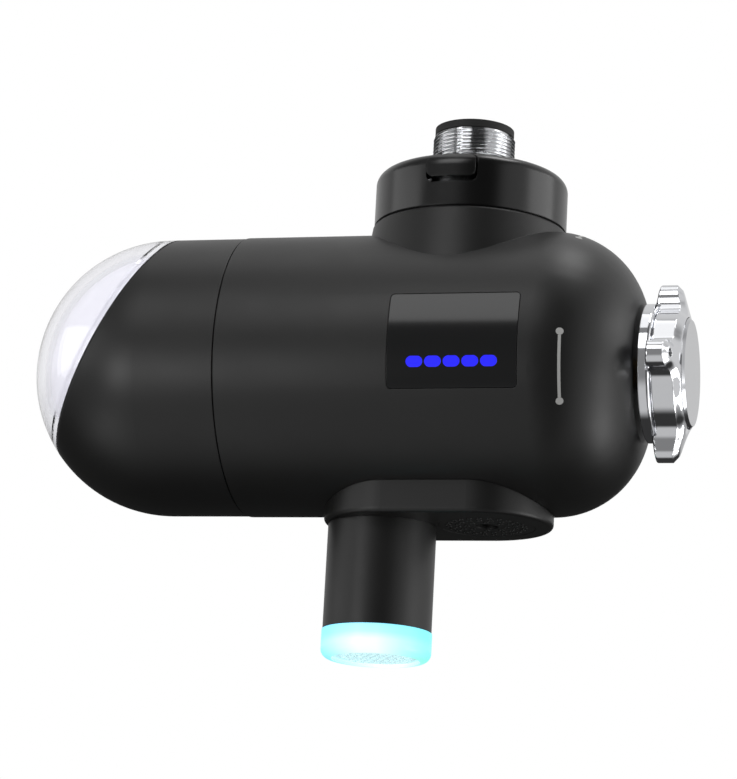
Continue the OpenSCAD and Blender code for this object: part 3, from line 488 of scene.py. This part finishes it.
def baked(piece):
    """The piece with its modifiers run into a plain mesh."""
    evaluated = piece.evaluated_get(bpy.context.evaluated_depsgraph_get())
    mesh = bpy.data.meshes.new_from_object(evaluated)
    piece.modifiers.clear()
    piece.data = mesh
    return piece


# Spout adapter: plug, swivel grooves, stub and thread

# Points round each of its rings
ROUND_STEPS = 96

# Its thread: pitch, depth, rows of points in a turn, chamfer at its end and the plain gap at both ends
PITCH = 1.0
THREAD_DEPTH = 0.6
THREAD_ROWS_PER_TURN = 8
THREAD_CHAMFER = 0.7
THREAD_GAP = 0.1

# Radii, and heights above the foot of the thread, as in the solid
MAJOR_R, STUB_R, BORE_R, WASHER_R = 11.0, 10.2, 8.2, 9.0
WASHER_DEEP = 2.6
SEAL_LOW, SEAL_HIGH, SEAL_R = -22.0, -19.6, 10.53
LATCH_LOW, LATCH_HIGH, LATCH_R = -14.1, -10.7, 10.83
PLUG_TOP, NECK_TOP = -5.1, -2.1
FOOT_CHAMFER, BORE_CHAMFER, PLUG_CHAMFER, FINE_CHAMFER = 0.5, 0.4, 0.3, 0.2


def thread_cut(share):
    """Depth share of a 60 degree thread at that share of its pitch: flat crest, flank, flat root, flank."""
    crest, root, flank = 0.125, 0.25, 0.3125
    if share < crest:
        return 0.0
    if share < crest + flank:
        return (share - crest) / flank
    if share < crest + flank + root:
        return 1.0
    return (1.0 - share) / flank


def spout_adapter():
    """Turned and chromed brass, one closed skin of rings, with its M22 thread cut along a helix."""
    top, foot, plug = ADAPTER_HIGH.z, ADAPTER_LOW.z, ADAPTER_HIGH.x
    outer = [(BORE_R + BORE_CHAMFER, foot), (plug - FOOT_CHAMFER, foot), (plug, foot + FOOT_CHAMFER),
             (plug, SEAL_LOW), (SEAL_R, SEAL_LOW), (SEAL_R, SEAL_HIGH), (plug, SEAL_HIGH),
             (plug, LATCH_LOW), (LATCH_R, LATCH_LOW), (LATCH_R, LATCH_HIGH), (plug, LATCH_HIGH),
             (plug, PLUG_TOP - PLUG_CHAMFER), (plug - PLUG_CHAMFER, PLUG_TOP), (MAJOR_R, PLUG_TOP),
             (MAJOR_R, NECK_TOP - FINE_CHAMFER), (MAJOR_R - FINE_CHAMFER, NECK_TOP), (STUB_R, NECK_TOP),
             (STUB_R, 0.0)]
    inner = [(WASHER_R + FINE_CHAMFER, top), (WASHER_R, top - FINE_CHAMFER), (WASHER_R, top - WASHER_DEEP),
             (BORE_R, top - WASHER_DEEP), (BORE_R, foot + BORE_CHAMFER)]
    turns = [2 * math.pi * k / ROUND_STEPS for k in range(ROUND_STEPS)]
    rows = [[(r * math.cos(a), r * math.sin(a), z) for a in turns] for r, z in outer]
    length = top - 2 * THREAD_GAP
    count = round(length * THREAD_ROWS_PER_TURN)
    for i in range(count + 1):
        z = THREAD_GAP + length * i / count
        lead_in = min(1.0, z / PITCH)
        chamfer = max(0.0, z - (top - THREAD_CHAMFER))
        row = []
        for a in turns:
            cut = thread_cut((z / PITCH - a / (2 * math.pi)) % 1.0)
            r = MAJOR_R - THREAD_DEPTH * (1 - lead_in * (1 - cut)) - chamfer
            row.append((r * math.cos(a), r * math.sin(a), z))
        rows.append(row)
    rows += [[(r * math.cos(a), r * math.sin(a), z) for a in turns] for r, z in inner]
    piece = piece_of("threaded_adapter", *skin_of_rows(rows))
    return declare(piece, "chrome_brass", "adapter", ["spout_adapter"])


# Knob handle

# Outline: radii of the lobes, of the hollows beside them and of the body between, and steps along each
LOBE_R, LOBE_STEPS = 3.5, 9
LOBE_FILLET, FILLET_STEPS = 5.8, 14
BODY_R, BODY_STEPS = 16.3, 8
# The lobes hook back over the skirt's rim from this radius on
HOOK_R = 18.3
HOOK_BACK = 0.9
TIP_BACK = 0.1
BACK_EDGE, BACK_STEPS = 0.4, 3
# Rows of points up the wall and in over the front, as shares of the way
WALL_SHARES = (0.06, 0.5, 0.95)
FRONT_SHARES = (0.25, 0.5, 0.75, 0.93)
# The front falls away from the crown, to just past the tips
FRONT_DROP = 2.9
SLOPE_END_R = HANDLE_TIP_R + 1
# Seat of the cap, and bore for the spindle
CAP_RIM_GAP = 0.15
CAP_LIFT = 0.5
CAP_SUNK = 1.6
CROWN_CHAMFER = 0.25
SPINDLE_BORE_R = 4.1
# Rolled front edge: width, depth between lobes and at tips, where that changes, and form as shares of both
HANDLE_EDGE = 1.55
EDGE_DEEP, EDGE_SHALLOW = 1.5, 1.0
EDGE_FROM_R, EDGE_TO_R = BODY_R + 0.7, HANDLE_TIP_R - 0.3
EDGE_FORM = ((0.0, 0.0), (0.03, 0.015), (0.1, 0.08), (0.35, 0.36), (0.65, 0.69), (0.9, 0.94), (1.0, 1.0))
# The pointer dimple: how far in from the tip, how deep below the crown, and radii over heights
DIMPLE_IN, DIMPLE_DEEP = 2.8, 3.7
DIMPLE_FORM = ((0.02, 0.0), (0.8, 0.0), (1.1, 0.4), (1.15, 4.0), (0.02, 4.0))
DIMPLE_STEPS = 32


def lobed_loop(inset):
    """The handle's outline, moved inwards by inset, as points that keep their order for any inset."""
    reach = BODY_R + LOBE_FILLET
    side = LOBE_R + LOBE_FILLET
    along = math.sqrt(reach**2 - side**2)
    meet = math.atan2(side, along)
    tip = HANDLE_TIP_R - LOBE_R
    eighth = []
    for i in range(LOBE_STEPS):
        a = math.radians(90 * i / LOBE_STEPS)
        eighth.append((tip + (LOBE_R - inset) * math.cos(a), (LOBE_R - inset) * math.sin(a)))
    for i in range(FILLET_STEPS + 1):
        a = -math.pi / 2 - (math.pi / 2 - meet) * i / FILLET_STEPS
        r = LOBE_FILLET + inset
        eighth.append((along + r * math.cos(a), side + r * math.sin(a)))
    for i in range(1, BODY_STEPS + 1):
        a = meet + (math.pi / 4 - meet) * i / BODY_STEPS
        eighth.append(((BODY_R - inset) * math.cos(a), (BODY_R - inset) * math.sin(a)))
    quarter = eighth + [(y, x) for x, y in reversed(eighth[1:-1])]
    loop = []
    for c, s in ((1, 0), (0, 1), (-1, 0), (0, -1)):
        loop += [(c * x - s * y, s * x + c * y) for x, y in quarter]
    return loop


def knob_handle():
    """Die-cast and chromed, with every edge rolled over, a sunk seat for the cap and a dimple on one lobe."""
    low, high = box_mm("knob_handle")
    back = low.x + HOOK_BACK
    thick = high.x - back - CAP_LIFT
    seat_r = box_mm("knob_cap")[1].z - AXIS_Z + CAP_RIM_GAP
    crown_r = seat_r + CAP_RIM_GAP

    def front_at(r):
        return thick + CAP_LIFT - FRONT_DROP * max(0.0, r - crown_r) / (SLOPE_END_R - crown_r)

    def back_at(r):
        if r < HOOK_R:
            return -HOOK_BACK * max(0.0, (r - HOOK_R + BACK_EDGE) / BACK_EDGE)
        return -HOOK_BACK + (HOOK_BACK + TIP_BACK) * (r - HOOK_R) / (SLOPE_END_R - HOOK_R)

    def edge_at(r):
        out = min(1.0, max(0.0, (r - EDGE_FROM_R) / (EDGE_TO_R - EDGE_FROM_R)))
        return EDGE_DEEP + (EDGE_SHALLOW - EDGE_DEEP) * out

    def wall_at(r, share):
        foot = back_at(r) + BACK_EDGE
        return foot + (front_at(r) - edge_at(r) - foot) * share

    def ring(loop, height):
        return [(back + height(math.hypot(y, z)), -y, AXIS_Z + z) for y, z in loop]

    def towards(loop, r, share):
        return [(y + (r * y / math.hypot(y, z) - y) * share, z + (r * z / math.hypot(y, z) - z) * share)
                for y, z in loop]

    rows = []
    for i in range(BACK_STEPS + 1):
        a = math.radians(90 * i / BACK_STEPS)
        rise = BACK_EDGE * (1 - math.cos(a))
        rows.append(ring(lobed_loop(BACK_EDGE * (1 - math.sin(a))), lambda r, rise=rise: back_at(r) + rise))
    for share in WALL_SHARES:
        rows.append(ring(lobed_loop(0.0), lambda r, share=share: wall_at(r, share)))
    for inset, rise in EDGE_FORM:
        loop = lobed_loop(HANDLE_EDGE * inset)
        rows.append(ring(loop, lambda r, rise=rise: front_at(r) - edge_at(r) * (1 - rise)))
    inner = lobed_loop(HANDLE_EDGE)
    for share in FRONT_SHARES:
        rows.append(ring(towards(inner, seat_r, share), front_at))
    for r, height in ((seat_r, thick + CAP_LIFT - CROWN_CHAMFER), (seat_r, thick - CAP_SUNK),
                      (SPINDLE_BORE_R, thick - CAP_SUNK), (SPINDLE_BORE_R, 0.0)):
        rows.append(ring(towards(inner, r, 1.0), lambda _, height=height: height))
    piece = piece_of("cast_handle", *skin_of_rows(rows))
    turns = [2 * math.pi * k / DIMPLE_STEPS for k in range(DIMPLE_STEPS)]
    dimple = piece_of("dimple_cutter", *skin_of_rows(
        [[(high.x - DIMPLE_DEEP + x, -(HANDLE_TIP_R - DIMPLE_IN) + r * math.cos(a),
           AXIS_Z + r * math.sin(a)) for a in turns] for r, x in DIMPLE_FORM]))
    cut = piece.modifiers.new("dimple", "BOOLEAN")
    cut.object = dimple
    cut.operation = "DIFFERENCE"
    cut.solver = "EXACT"
    baked(piece)
    bpy.data.objects.remove(dimple)
    settle(piece.data)
    return declare(piece, "chromed_zinc", "knob", ["knob_handle"])


# Mode marks: a printed line with a dot at each end, one for each place of the knob

# Place along the barrel, angles of both ends in degrees, the line's width, the dots' radius and the ink
MARK_X = 32.5
MARK_FROM, MARK_TO = 3.0, -25.2
MARK_WIDTH = 0.75
MARK_DOT = 0.95
INK = 0.03

# Steps along the line and round a dot, and circles of points in a dot as shares of its radius
MARK_STEPS = 40
DOT_STEPS = 28
DOT_SHARES = (0.02, 0.5, 1.0)


def on_the_end(x, around, lift):
    """A point on the barrel's rounded end. Around is 0 in front and grows upwards, in radians."""
    slope = math.asin((x - END_CENTRE_X) / END_ROUND)
    r = END_CENTRE_R + (END_ROUND + lift) * math.cos(slope)
    along = END_CENTRE_X + (END_ROUND + lift) * math.sin(slope)
    return (along, -r * math.cos(around), AXIS_Z + r * math.sin(around))


def mode_marks():
    """White pad print: a line and two round dots, and the same again a quarter turn further up."""
    points, faces = [], []
    girth = END_CENTRE_R + END_ROUND * math.cos(math.asin((MARK_X - END_CENTRE_X) / END_ROUND))

    def slab(flat, rows, columns, wrap):
        """A sheet of ink over a grid of flat places, with a wall down to the plastic all round."""
        start = len(points)
        for lift in (INK, -INK):
            points.extend(on_the_end(x, a, lift) for x, a in flat)
        size = rows * columns
        for i in range(rows - 1):
            for k in range(columns if wrap else columns - 1):
                a, b = i * columns + k, i * columns + (k + 1) % columns
                c, d = b + columns, a + columns
                faces.append(tuple(start + v for v in (a, b, c, d)))
                faces.append(tuple(start + size + v for v in (d, c, b, a)))
        if wrap:
            rim = [(rows - 1, k) for k in range(columns)]
        else:
            rim = [(i, 0) for i in range(rows)] + [(rows - 1, k) for k in range(1, columns)]
            rim += [(i, columns - 1) for i in range(rows - 2, -1, -1)]
            rim += [(0, k) for k in range(columns - 2, 0, -1)]
        for (i, k), (j, m) in zip(rim, rim[1:] + rim[:1]):
            a, b = start + i * columns + k, start + j * columns + m
            faces.append((a, b, b + size, a + size))

    for turn in (0, 90):
        first, last = math.radians(MARK_FROM + turn), math.radians(MARK_TO + turn)
        short = MARK_DOT / girth
        line = [(MARK_X + side * MARK_WIDTH / 2, first - short + (last - first + 2 * short) * i / MARK_STEPS)
                for i in range(MARK_STEPS + 1) for side in (-1, 0, 1)]
        slab(line, MARK_STEPS + 1, 3, wrap=False)
        for centre in (first, last):
            dot = []
            for share in DOT_SHARES:
                for k in range(DOT_STEPS):
                    a = 2 * math.pi * k / DOT_STEPS
                    dot.append((MARK_X + MARK_DOT * share * math.cos(a),
                                centre + MARK_DOT * share * math.sin(a) / girth))
            slab(dot, len(DOT_SHARES), DOT_STEPS, wrap=True)
    return declare(piece_of("mode_marks", points, faces), "white_abs", "barrel", finish=PAD_PRINT)


# Repeated forms, grown by Geometry Nodes

def tree_with(name, sizes):
    """An empty tree with named number inputs, its input node and its output node."""
    tree = bpy.data.node_groups.new(name, "GeometryNodeTree")
    for label, kind, value in sizes:
        socket = tree.interface.new_socket(label, in_out="INPUT", socket_type="NodeSocket" + kind)
        socket.default_value = value
    tree.interface.new_socket("Geometry", in_out="OUTPUT", socket_type="NodeSocketGeometry")
    return tree, tree.nodes.new("NodeGroupInput").outputs, tree.nodes.new("NodeGroupOutput")


def close_tree(tree, geometry, end, slot):
    """Realizes the instances, gives them their material and ends the tree."""
    real = add(tree, "GeometryNodeRealizeInstances", None, {"Geometry": geometry})
    coat = add(tree, "GeometryNodeSetMaterial", {"Material": MATERIALS[slot]}, {"Geometry": real.outputs[0]})
    tree.links.new(coat.outputs[0], end.inputs[0])


def grown(name, tree, runs):
    """Runs a tree once for each set of sizes and place, and joins the results into one piece."""
    work = bmesh.new()
    for sizes, place in runs:
        seed = object_of(name + "_seed", bpy.data.meshes.new(name + "_seed"))
        grower = seed.modifiers.new("grow", "NODES")
        grower.node_group = tree
        for socket in tree.interface.items_tree:
            if socket.in_out == "INPUT" and socket.name in sizes:
                grower[socket.identifier] = sizes[socket.name]
        mesh = bpy.data.meshes.new_from_object(seed.evaluated_get(bpy.context.evaluated_depsgraph_get()))
        mesh.transform(place)
        work.from_mesh(mesh)
        bpy.data.objects.remove(seed)
    mesh = bpy.data.meshes.new(name)
    work.to_mesh(mesh)
    work.free()
    settle(mesh)
    return object_of(name, mesh)


def rims_tree(slot):
    """Beads on a circle: soft raised rims round water holes."""
    tree, start, end = tree_with("water_hole_rims", [
        ("Count", "Int", 8), ("Ring Radius", "Float", 0.005), ("Rim Radius", "Float", 0.0007),
        ("Bead", "Float", 0.0002)])
    spots = add(tree, "GeometryNodeMeshCircle", None,
                {"Vertices": start["Count"], "Radius": start["Ring Radius"]})
    rim = add(tree, "GeometryNodeCurvePrimitiveCircle", {"Resolution": 14}, {"Radius": start["Rim Radius"]})
    bead = add(tree, "GeometryNodeCurvePrimitiveCircle", {"Resolution": 6}, {"Radius": start["Bead"]})
    ring = add(tree, "GeometryNodeCurveToMesh", None,
               {"Curve": rim.outputs[0], "Profile Curve": bead.outputs[0]})
    rims = add(tree, "GeometryNodeInstanceOnPoints", None,
               {"Points": spots.outputs[0], "Instance": ring.outputs[0]})
    close_tree(tree, rims.outputs[0], end, slot)
    return tree


# Shower holes: how many more and how far turned from ring to ring, the rings' radii, and the holes' rims
SHOWER_HOLES, SHOWER_TURN = 8, 10
SHOWER_MIDDLE_R, SHOWER_STEP = 2.8, 2.4
SHOWER_RIM_R, SHOWER_BEAD = 0.68, 0.17

# Jets of the nozzle: how many more and how much wider from ring to ring, and the jets' rims
JETS, JET_STEP = 6, 2.1
JET_RIM_R, JET_BEAD = 0.9, 0.22


def shower_rims():
    """Soft rims round the three rings of shower holes."""
    tree = rims_tree("matte_black_abs")
    runs = []
    face = Vector((SHOWER_X, 0, PLATE_LOW.z)) * MM
    for ring in (1, 2, 3):
        sizes = {"Count": SHOWER_HOLES * ring, "Ring Radius": (SHOWER_MIDDLE_R + SHOWER_STEP * ring) * MM,
                 "Rim Radius": SHOWER_RIM_R * MM, "Bead": SHOWER_BEAD * MM}
        place = Matrix.Translation(face) @ Matrix.Rotation(math.radians(SHOWER_TURN * ring), 4, "Z")
        runs.append((sizes, place))
    return declare(grown("shower_hole_rims", tree, runs), "matte_black_abs", "barrel")


def nozzle_rims():
    """Raised rims round the jets of the filtered outlet."""
    tree = rims_tree("white_abs")
    face = Vector((TUBE_X, 0, box_mm("nozzle_insert")[0].z)) * MM
    runs = []
    for ring in (1, 2, 3, 4):
        sizes = {"Count": JETS * ring, "Ring Radius": JET_STEP * ring * MM, "Rim Radius": JET_RIM_R * MM,
                 "Bead": JET_BEAD * MM}
        runs.append((sizes, Matrix.Translation(face)))
    piece = grown("nozzle_jet_rims", tree, runs)
    return declare(piece, "white_abs", "barrel", finish=OWN_FINISH["nozzle_insert"])


def latch_springs():
    """Two coils of round spring wire that push the latch plate out."""
    low, high = box_mm("latch_springs")
    coil_r, wire, turns = 0.8, 0.25, 5.0
    tree, start, end = tree_with("coil_spring", [
        ("Turns", "Float", 5.0), ("Coil Radius", "Float", 0.0008), ("Height", "Float", 0.003),
        ("Wire Radius", "Float", 0.0002)])
    coil = add(tree, "GeometryNodeCurveSpiral", {"Resolution": 28}, {
        "Rotations": start["Turns"], "Start Radius": start["Coil Radius"], "End Radius": start["Coil Radius"],
        "Height": start["Height"]})
    section = add(tree, "GeometryNodeCurvePrimitiveCircle", {"Resolution": 10},
                  {"Radius": start["Wire Radius"]})
    spring = add(tree, "GeometryNodeCurveToMesh", {"Fill Caps": True},
                 {"Curve": coil.outputs[0], "Profile Curve": section.outputs[0]})
    close_tree(tree, spring.outputs[0], end, "stainless_steel")
    sizes = {"Turns": turns, "Coil Radius": coil_r * MM, "Height": (high.y - low.y - 2 * wire) * MM,
             "Wire Radius": wire * MM}
    runs = []
    for side in (-1, 1):
        at = Vector((side * (high.x - coil_r - wire), low.y + wire, (low.z + high.z) / 2)) * MM
        runs.append((sizes, Matrix.Translation(at) @ Matrix.Rotation(math.radians(-90), 4, "X")))
    return declare(grown("wire_springs", tree, runs), "stainless_steel", "latch", ["latch_springs"])


def strainer_wires():
    """Two crossed layers of thin wire over the strainer's plate, each wire as long as its chord."""
    low, high = box_mm("inlet_screen")
    rim, plate, step, wire = 0.9, 0.6, 0.9, 0.11
    field_r = high.x - rim
    layer_rise = 1.9 * wire
    count = 2 * int(field_r / step) + 1
    tree, start, end = tree_with("strainer_weave", [
        ("Count", "Int", 15), ("Step", "Float", 0.001), ("Field Radius", "Float", 0.007),
        ("Wire Radius", "Float", 0.0001)])

    first = add(tree, "ShaderNodeMath", {"operation": "MULTIPLY", 1: -(count - 1) / 2}, {0: start["Step"]})
    corner = add(tree, "ShaderNodeCombineXYZ", None, {"Y": first.outputs[0]})
    stride = add(tree, "ShaderNodeCombineXYZ", None, {"Y": start["Step"]})
    line = add(tree, "GeometryNodeMeshLine", None, {
        "Count": start["Count"], "Start Location": corner.outputs[0], "Offset": stride.outputs[0]})

    where = add(tree, "GeometryNodeInputPosition")
    off = add(tree, "ShaderNodeSeparateXYZ", None, {"Vector": where.outputs[0]}).outputs[1]
    square = add(tree, "ShaderNodeMath", {"operation": "MULTIPLY"}, {0: off, 1: off})
    reach = add(tree, "ShaderNodeMath", {"operation": "MULTIPLY"},
                {0: start["Field Radius"], 1: start["Field Radius"]})
    rest = add(tree, "ShaderNodeMath", {"operation": "SUBTRACT"}, {0: reach.outputs[0], 1: square.outputs[0]})
    half = add(tree, "ShaderNodeMath", {"operation": "SQRT"}, {0: rest.outputs[0]})
    chord = add(tree, "ShaderNodeMath", {"operation": "MULTIPLY", 1: 2.0}, {0: half.outputs[0]})

    rod = add(tree, "GeometryNodeMeshCylinder", {"Vertices": 8, "Depth": 1.0},
              {"Radius": start["Wire Radius"]})
    size = add(tree, "ShaderNodeCombineXYZ", {"X": 1.0, "Y": 1.0}, {"Z": chord.outputs[0]})
    lay = add(tree, "ShaderNodeCombineXYZ", {"Y": math.pi / 2})
    laid = add(tree, "GeometryNodeInstanceOnPoints", None, {
        "Points": line.outputs[0], "Instance": rod.outputs[0], "Rotation": lay.outputs[0],
        "Scale": size.outputs[0]})
    close_tree(tree, laid.outputs[0], end, "stainless_steel")

    sizes = {"Count": count, "Step": step * MM, "Field Radius": field_r * MM, "Wire Radius": wire * MM}
    runs = []
    for layer, turn in ((0, 0), (1, 90)):
        at = Vector((0, 0, low.z + plate + wire + layer_rise * layer)) * MM
        runs.append((sizes, Matrix.Translation(at) @ Matrix.Rotation(math.radians(turn), 4, "Z")))
    return declare(grown("strainer_wires", tree, runs), "stainless_steel", "adapter")


# Camera

# Fitted to the photograph: its width and the focal length in pixels, three turns, and a place in metres
PHOTO_W = 737
FOCAL_PX = 3147.2
SENSOR_MM = 36
CAMERA_AZIMUTH = math.radians(14.723)
CAMERA_ELEVATION = math.radians(-13.991)
CAMERA_ROLL = math.radians(-3.124)
CAMERA_AT = Vector((0.1808, -0.7859, -0.2640))


def place_camera():
    """The photograph's view: a long lens, from the right and from below, rolled a little."""
    right = Vector((math.cos(CAMERA_AZIMUTH), math.sin(CAMERA_AZIMUTH), 0))
    back = Vector((math.sin(CAMERA_AZIMUTH) * math.cos(CAMERA_ELEVATION),
                   -math.cos(CAMERA_AZIMUTH) * math.cos(CAMERA_ELEVATION),
                   math.sin(CAMERA_ELEVATION)))
    up = back.cross(right)
    turned_right = math.cos(CAMERA_ROLL) * right - math.sin(CAMERA_ROLL) * up
    turned_up = math.sin(CAMERA_ROLL) * right + math.cos(CAMERA_ROLL) * up
    data = bpy.data.cameras.new("camera")
    data.sensor_fit = "HORIZONTAL"
    data.sensor_width = SENSOR_MM
    data.lens = SENSOR_MM * FOCAL_PX / PHOTO_W
    data.clip_start = 0.01
    data.clip_end = 20
    camera = object_of("camera", data)
    axes = Matrix((turned_right, turned_up, back)).transposed()
    camera.matrix_world = Matrix.Translation(CAMERA_AT) @ axes.to_4x4()
    bpy.context.scene.camera = camera


# Studio

# The spot all lamps face and how far off they stand, in metres
AIM = Vector((-0.012, 0, -0.06))
LAMP_AWAY = 1.0

# Soft boxes: azimuth (0 in front of the object, 90 at its knob), elevation, width, height and radiance.
# The lens mirrors one of them, as the bright band along its top.
SOFT_BOXES = {
    "front_mid": (-30, -6, 0.3, 0.36, 4.8),
    "lens_band": (-15, 42, 0.44, 0.48, 2.2),
    "top": (-60, 80, 0.6, 0.36, 0.9),
    "top_right": (100, 74, 0.4, 0.35, 4.4),
    "left_mid": (-72, 14, 0.8, 0.4, 1.2),
    "left_low": (-60, -40, 0.4, 0.3, 1.0),
    "right_high": (104, 22, 0.7, 0.3, 1.5),
    "right_mid": (86, -6, 0.34, 0.34, 2.2),
    "right_low": (98, -27, 0.42, 0.34, 3.6),
}


def light_the_studio():
    """Flat white lamps about the object, each turned to face it."""
    for name, (azimuth, elevation, width, height, radiance) in SOFT_BOXES.items():
        a, e = math.radians(azimuth), math.radians(elevation)
        out = Vector((math.sin(a) * math.cos(e), -math.cos(a) * math.cos(e), math.sin(e)))
        data = bpy.data.lights.new(name, "AREA")
        data.shape = "RECTANGLE"
        data.size = width
        data.size_y = height
        data.energy = radiance * math.pi * width * height
        lamp = object_of(name, data)
        lamp.location = AIM + out * LAMP_AWAY
        lamp.rotation_mode = "QUATERNION"
        lamp.rotation_quaternion = out.to_track_quat("Z", "Y")


# Light of the surround on dull surfaces, away from and under the object
SOFT_LIGHT, SOFT_DARK = 0.2, 0.08

# What gloss mirrors: the room, the room low down, its walls, and where it is dark
GLOSS_ROOM, GLOSS_BELOW, GLOSS_WALL, GLOSS_DARK = 0.26, 0.6, 0.7, 0.04

# A tall dark card in front on the right: its azimuth, and how far off it ends and is full, in degrees
CARD_AT = 24
CARD_EDGE, CARD_CORE = 35, 15


def white_surround():
    """White where the camera or glass looks, soft light on dull surfaces, and a shaped room for gloss."""
    world = bpy.data.worlds.new("studio")
    bpy.context.scene.world = world
    world.use_nodes = True
    tree = world.node_tree
    tree.nodes.clear()

    way = add(tree, "ShaderNodeTexCoord").outputs["Generated"]
    x, y, z = add(tree, "ShaderNodeSeparateXYZ", None, {"Vector": way}).outputs
    front = add(tree, "ShaderNodeMath", {"operation": "MULTIPLY", 1: -1.0}, {0: y})
    azimuth = add(tree, "ShaderNodeMath", {"operation": "ARCTAN2"}, {0: x, 1: front.outputs[0]})
    turned = add(tree, "ShaderNodeMath", {"operation": "SUBTRACT", 1: math.radians(CARD_AT)},
                 {0: azimuth.outputs[0]})
    off_card = add(tree, "ShaderNodeMath", {"operation": "ABSOLUTE"}, {0: turned.outputs[0]}).outputs[0]

    path = add(tree, "ShaderNodeLightPath").outputs
    share = {"camera": path["Is Camera Ray"], "glass": path["Is Transmission Ray"]}
    for name, source, low, high in (
            ("behind", y, -0.1, 0.4), ("high", z, 0.0, 0.2), ("not in front", y, -0.25, 0.1),
            ("low", z, 0.2, 0.0), ("deep", z, -0.3, -0.65), ("right", x, 0.6, 0.8),
            ("off floor", z, -0.8, -0.6),
            ("card", off_card, math.radians(CARD_EDGE), math.radians(CARD_CORE))):
        rise = add(tree, "ShaderNodeMapRange", {"interpolation_type": "SMOOTHSTEP", "From Min": low,
                                                "From Max": high}, {"Value": source})
        share[name] = rise.outputs[0]
    for name, operation, first, second in (
            ("back wall", "MULTIPLY", "behind", "high"), ("under", "MULTIPLY", "not in front", "low"),
            ("dark", "MAXIMUM", "under", "card"), ("side wall", "MULTIPLY", "right", "off floor"),
            ("walls", "MAXIMUM", "back wall", "side wall"), ("seen", "MAXIMUM", "camera", "glass")):
        both = add(tree, "ShaderNodeMath", {"operation": operation}, {0: share[first], 1: share[second]})
        share[name] = both.outputs[0]

    bright = add(tree, "ShaderNodeMapRange", {"To Min": GLOSS_ROOM, "To Max": GLOSS_BELOW},
                 {"Value": share["deep"]})
    room = add(tree, "ShaderNodeMix", {"data_type": "FLOAT", "B": GLOSS_DARK},
               {"Factor": share["dark"], "A": bright.outputs[0]})
    gloss = add(tree, "ShaderNodeMix", {"data_type": "FLOAT", "B": GLOSS_WALL},
                {"Factor": share["walls"], "A": room.outputs[0]})
    dull = add(tree, "ShaderNodeMapRange", {"To Min": SOFT_LIGHT, "To Max": SOFT_DARK},
               {"Value": share["under"]})
    soft = add(tree, "ShaderNodeMix", {"data_type": "FLOAT"},
               {"Factor": path["Is Glossy Ray"], "A": dull.outputs[0], "B": gloss.outputs[0]})
    level = add(tree, "ShaderNodeMath", {"operation": "MAXIMUM"}, {0: share["seen"], 1: soft.outputs[0]})
    white = add(tree, "ShaderNodeBackground", {"Color": (1, 1, 1, 1)}, {"Strength": level.outputs[0]})
    add(tree, "ShaderNodeOutputWorld", None, {"Surface": white.outputs[0]})


# Floor: half its side and its height, in metres, and its corners as shares of half the side
FLOOR_HALF = 4.0
FLOOR_Z = -0.30
FLOOR_CORNERS = ((-1, -1), (1, -1), (1, 1), (-1, 1))


def pale_floor():
    """A white floor that only the camera sees, and only from above. It hides nothing and lights nothing."""
    mesh = bpy.data.meshes.new("floor")
    corners = [(x * FLOOR_HALF, y * FLOOR_HALF, FLOOR_Z) for x, y in FLOOR_CORNERS]
    mesh.from_pydata(corners, [], [(0, 1, 2, 3)])
    floor = object_of("floor", mesh)
    # Matte white sheet that glows a little, so that it stays pale beside the white surround
    mat, tree, shader = finish_of("pale_floor", "#F2F2F2", 0.9, more={
        "Emission Strength": 0.55, "Emission Color": srgb("#FFFFFF")})
    mat.cycles.emission_sampling = "NONE"
    path = add(tree, "ShaderNodeLightPath")
    side = add(tree, "ShaderNodeNewGeometry")
    unseen = add(tree, "ShaderNodeMath", {"operation": "SUBTRACT", 0: 1.0},
                 {1: path.outputs["Is Camera Ray"]})
    hidden = add(tree, "ShaderNodeMath", {"operation": "MAXIMUM"},
                 {0: side.outputs["Backfacing"], 1: unseen.outputs[0]})
    clear = add(tree, "ShaderNodeBsdfTransparent")
    mix = add(tree, "ShaderNodeMixShader", None,
              {0: hidden.outputs[0], 1: shader.outputs[0], 2: clear.outputs[0]})
    tree.links.new(mix.outputs[0], tree.nodes["Material Output"].inputs["Surface"])
    mesh.materials.append(mat)


place_camera()
dress_the_cad_nodes()
spout_adapter()
strainer_wires()
latch_springs()
knob_handle()
mode_marks()
shower_rims()
nozzle_rims()
light_the_studio()
white_surround()
pale_floor()
bpy.context.scene.view_settings.view_transform = "Standard"
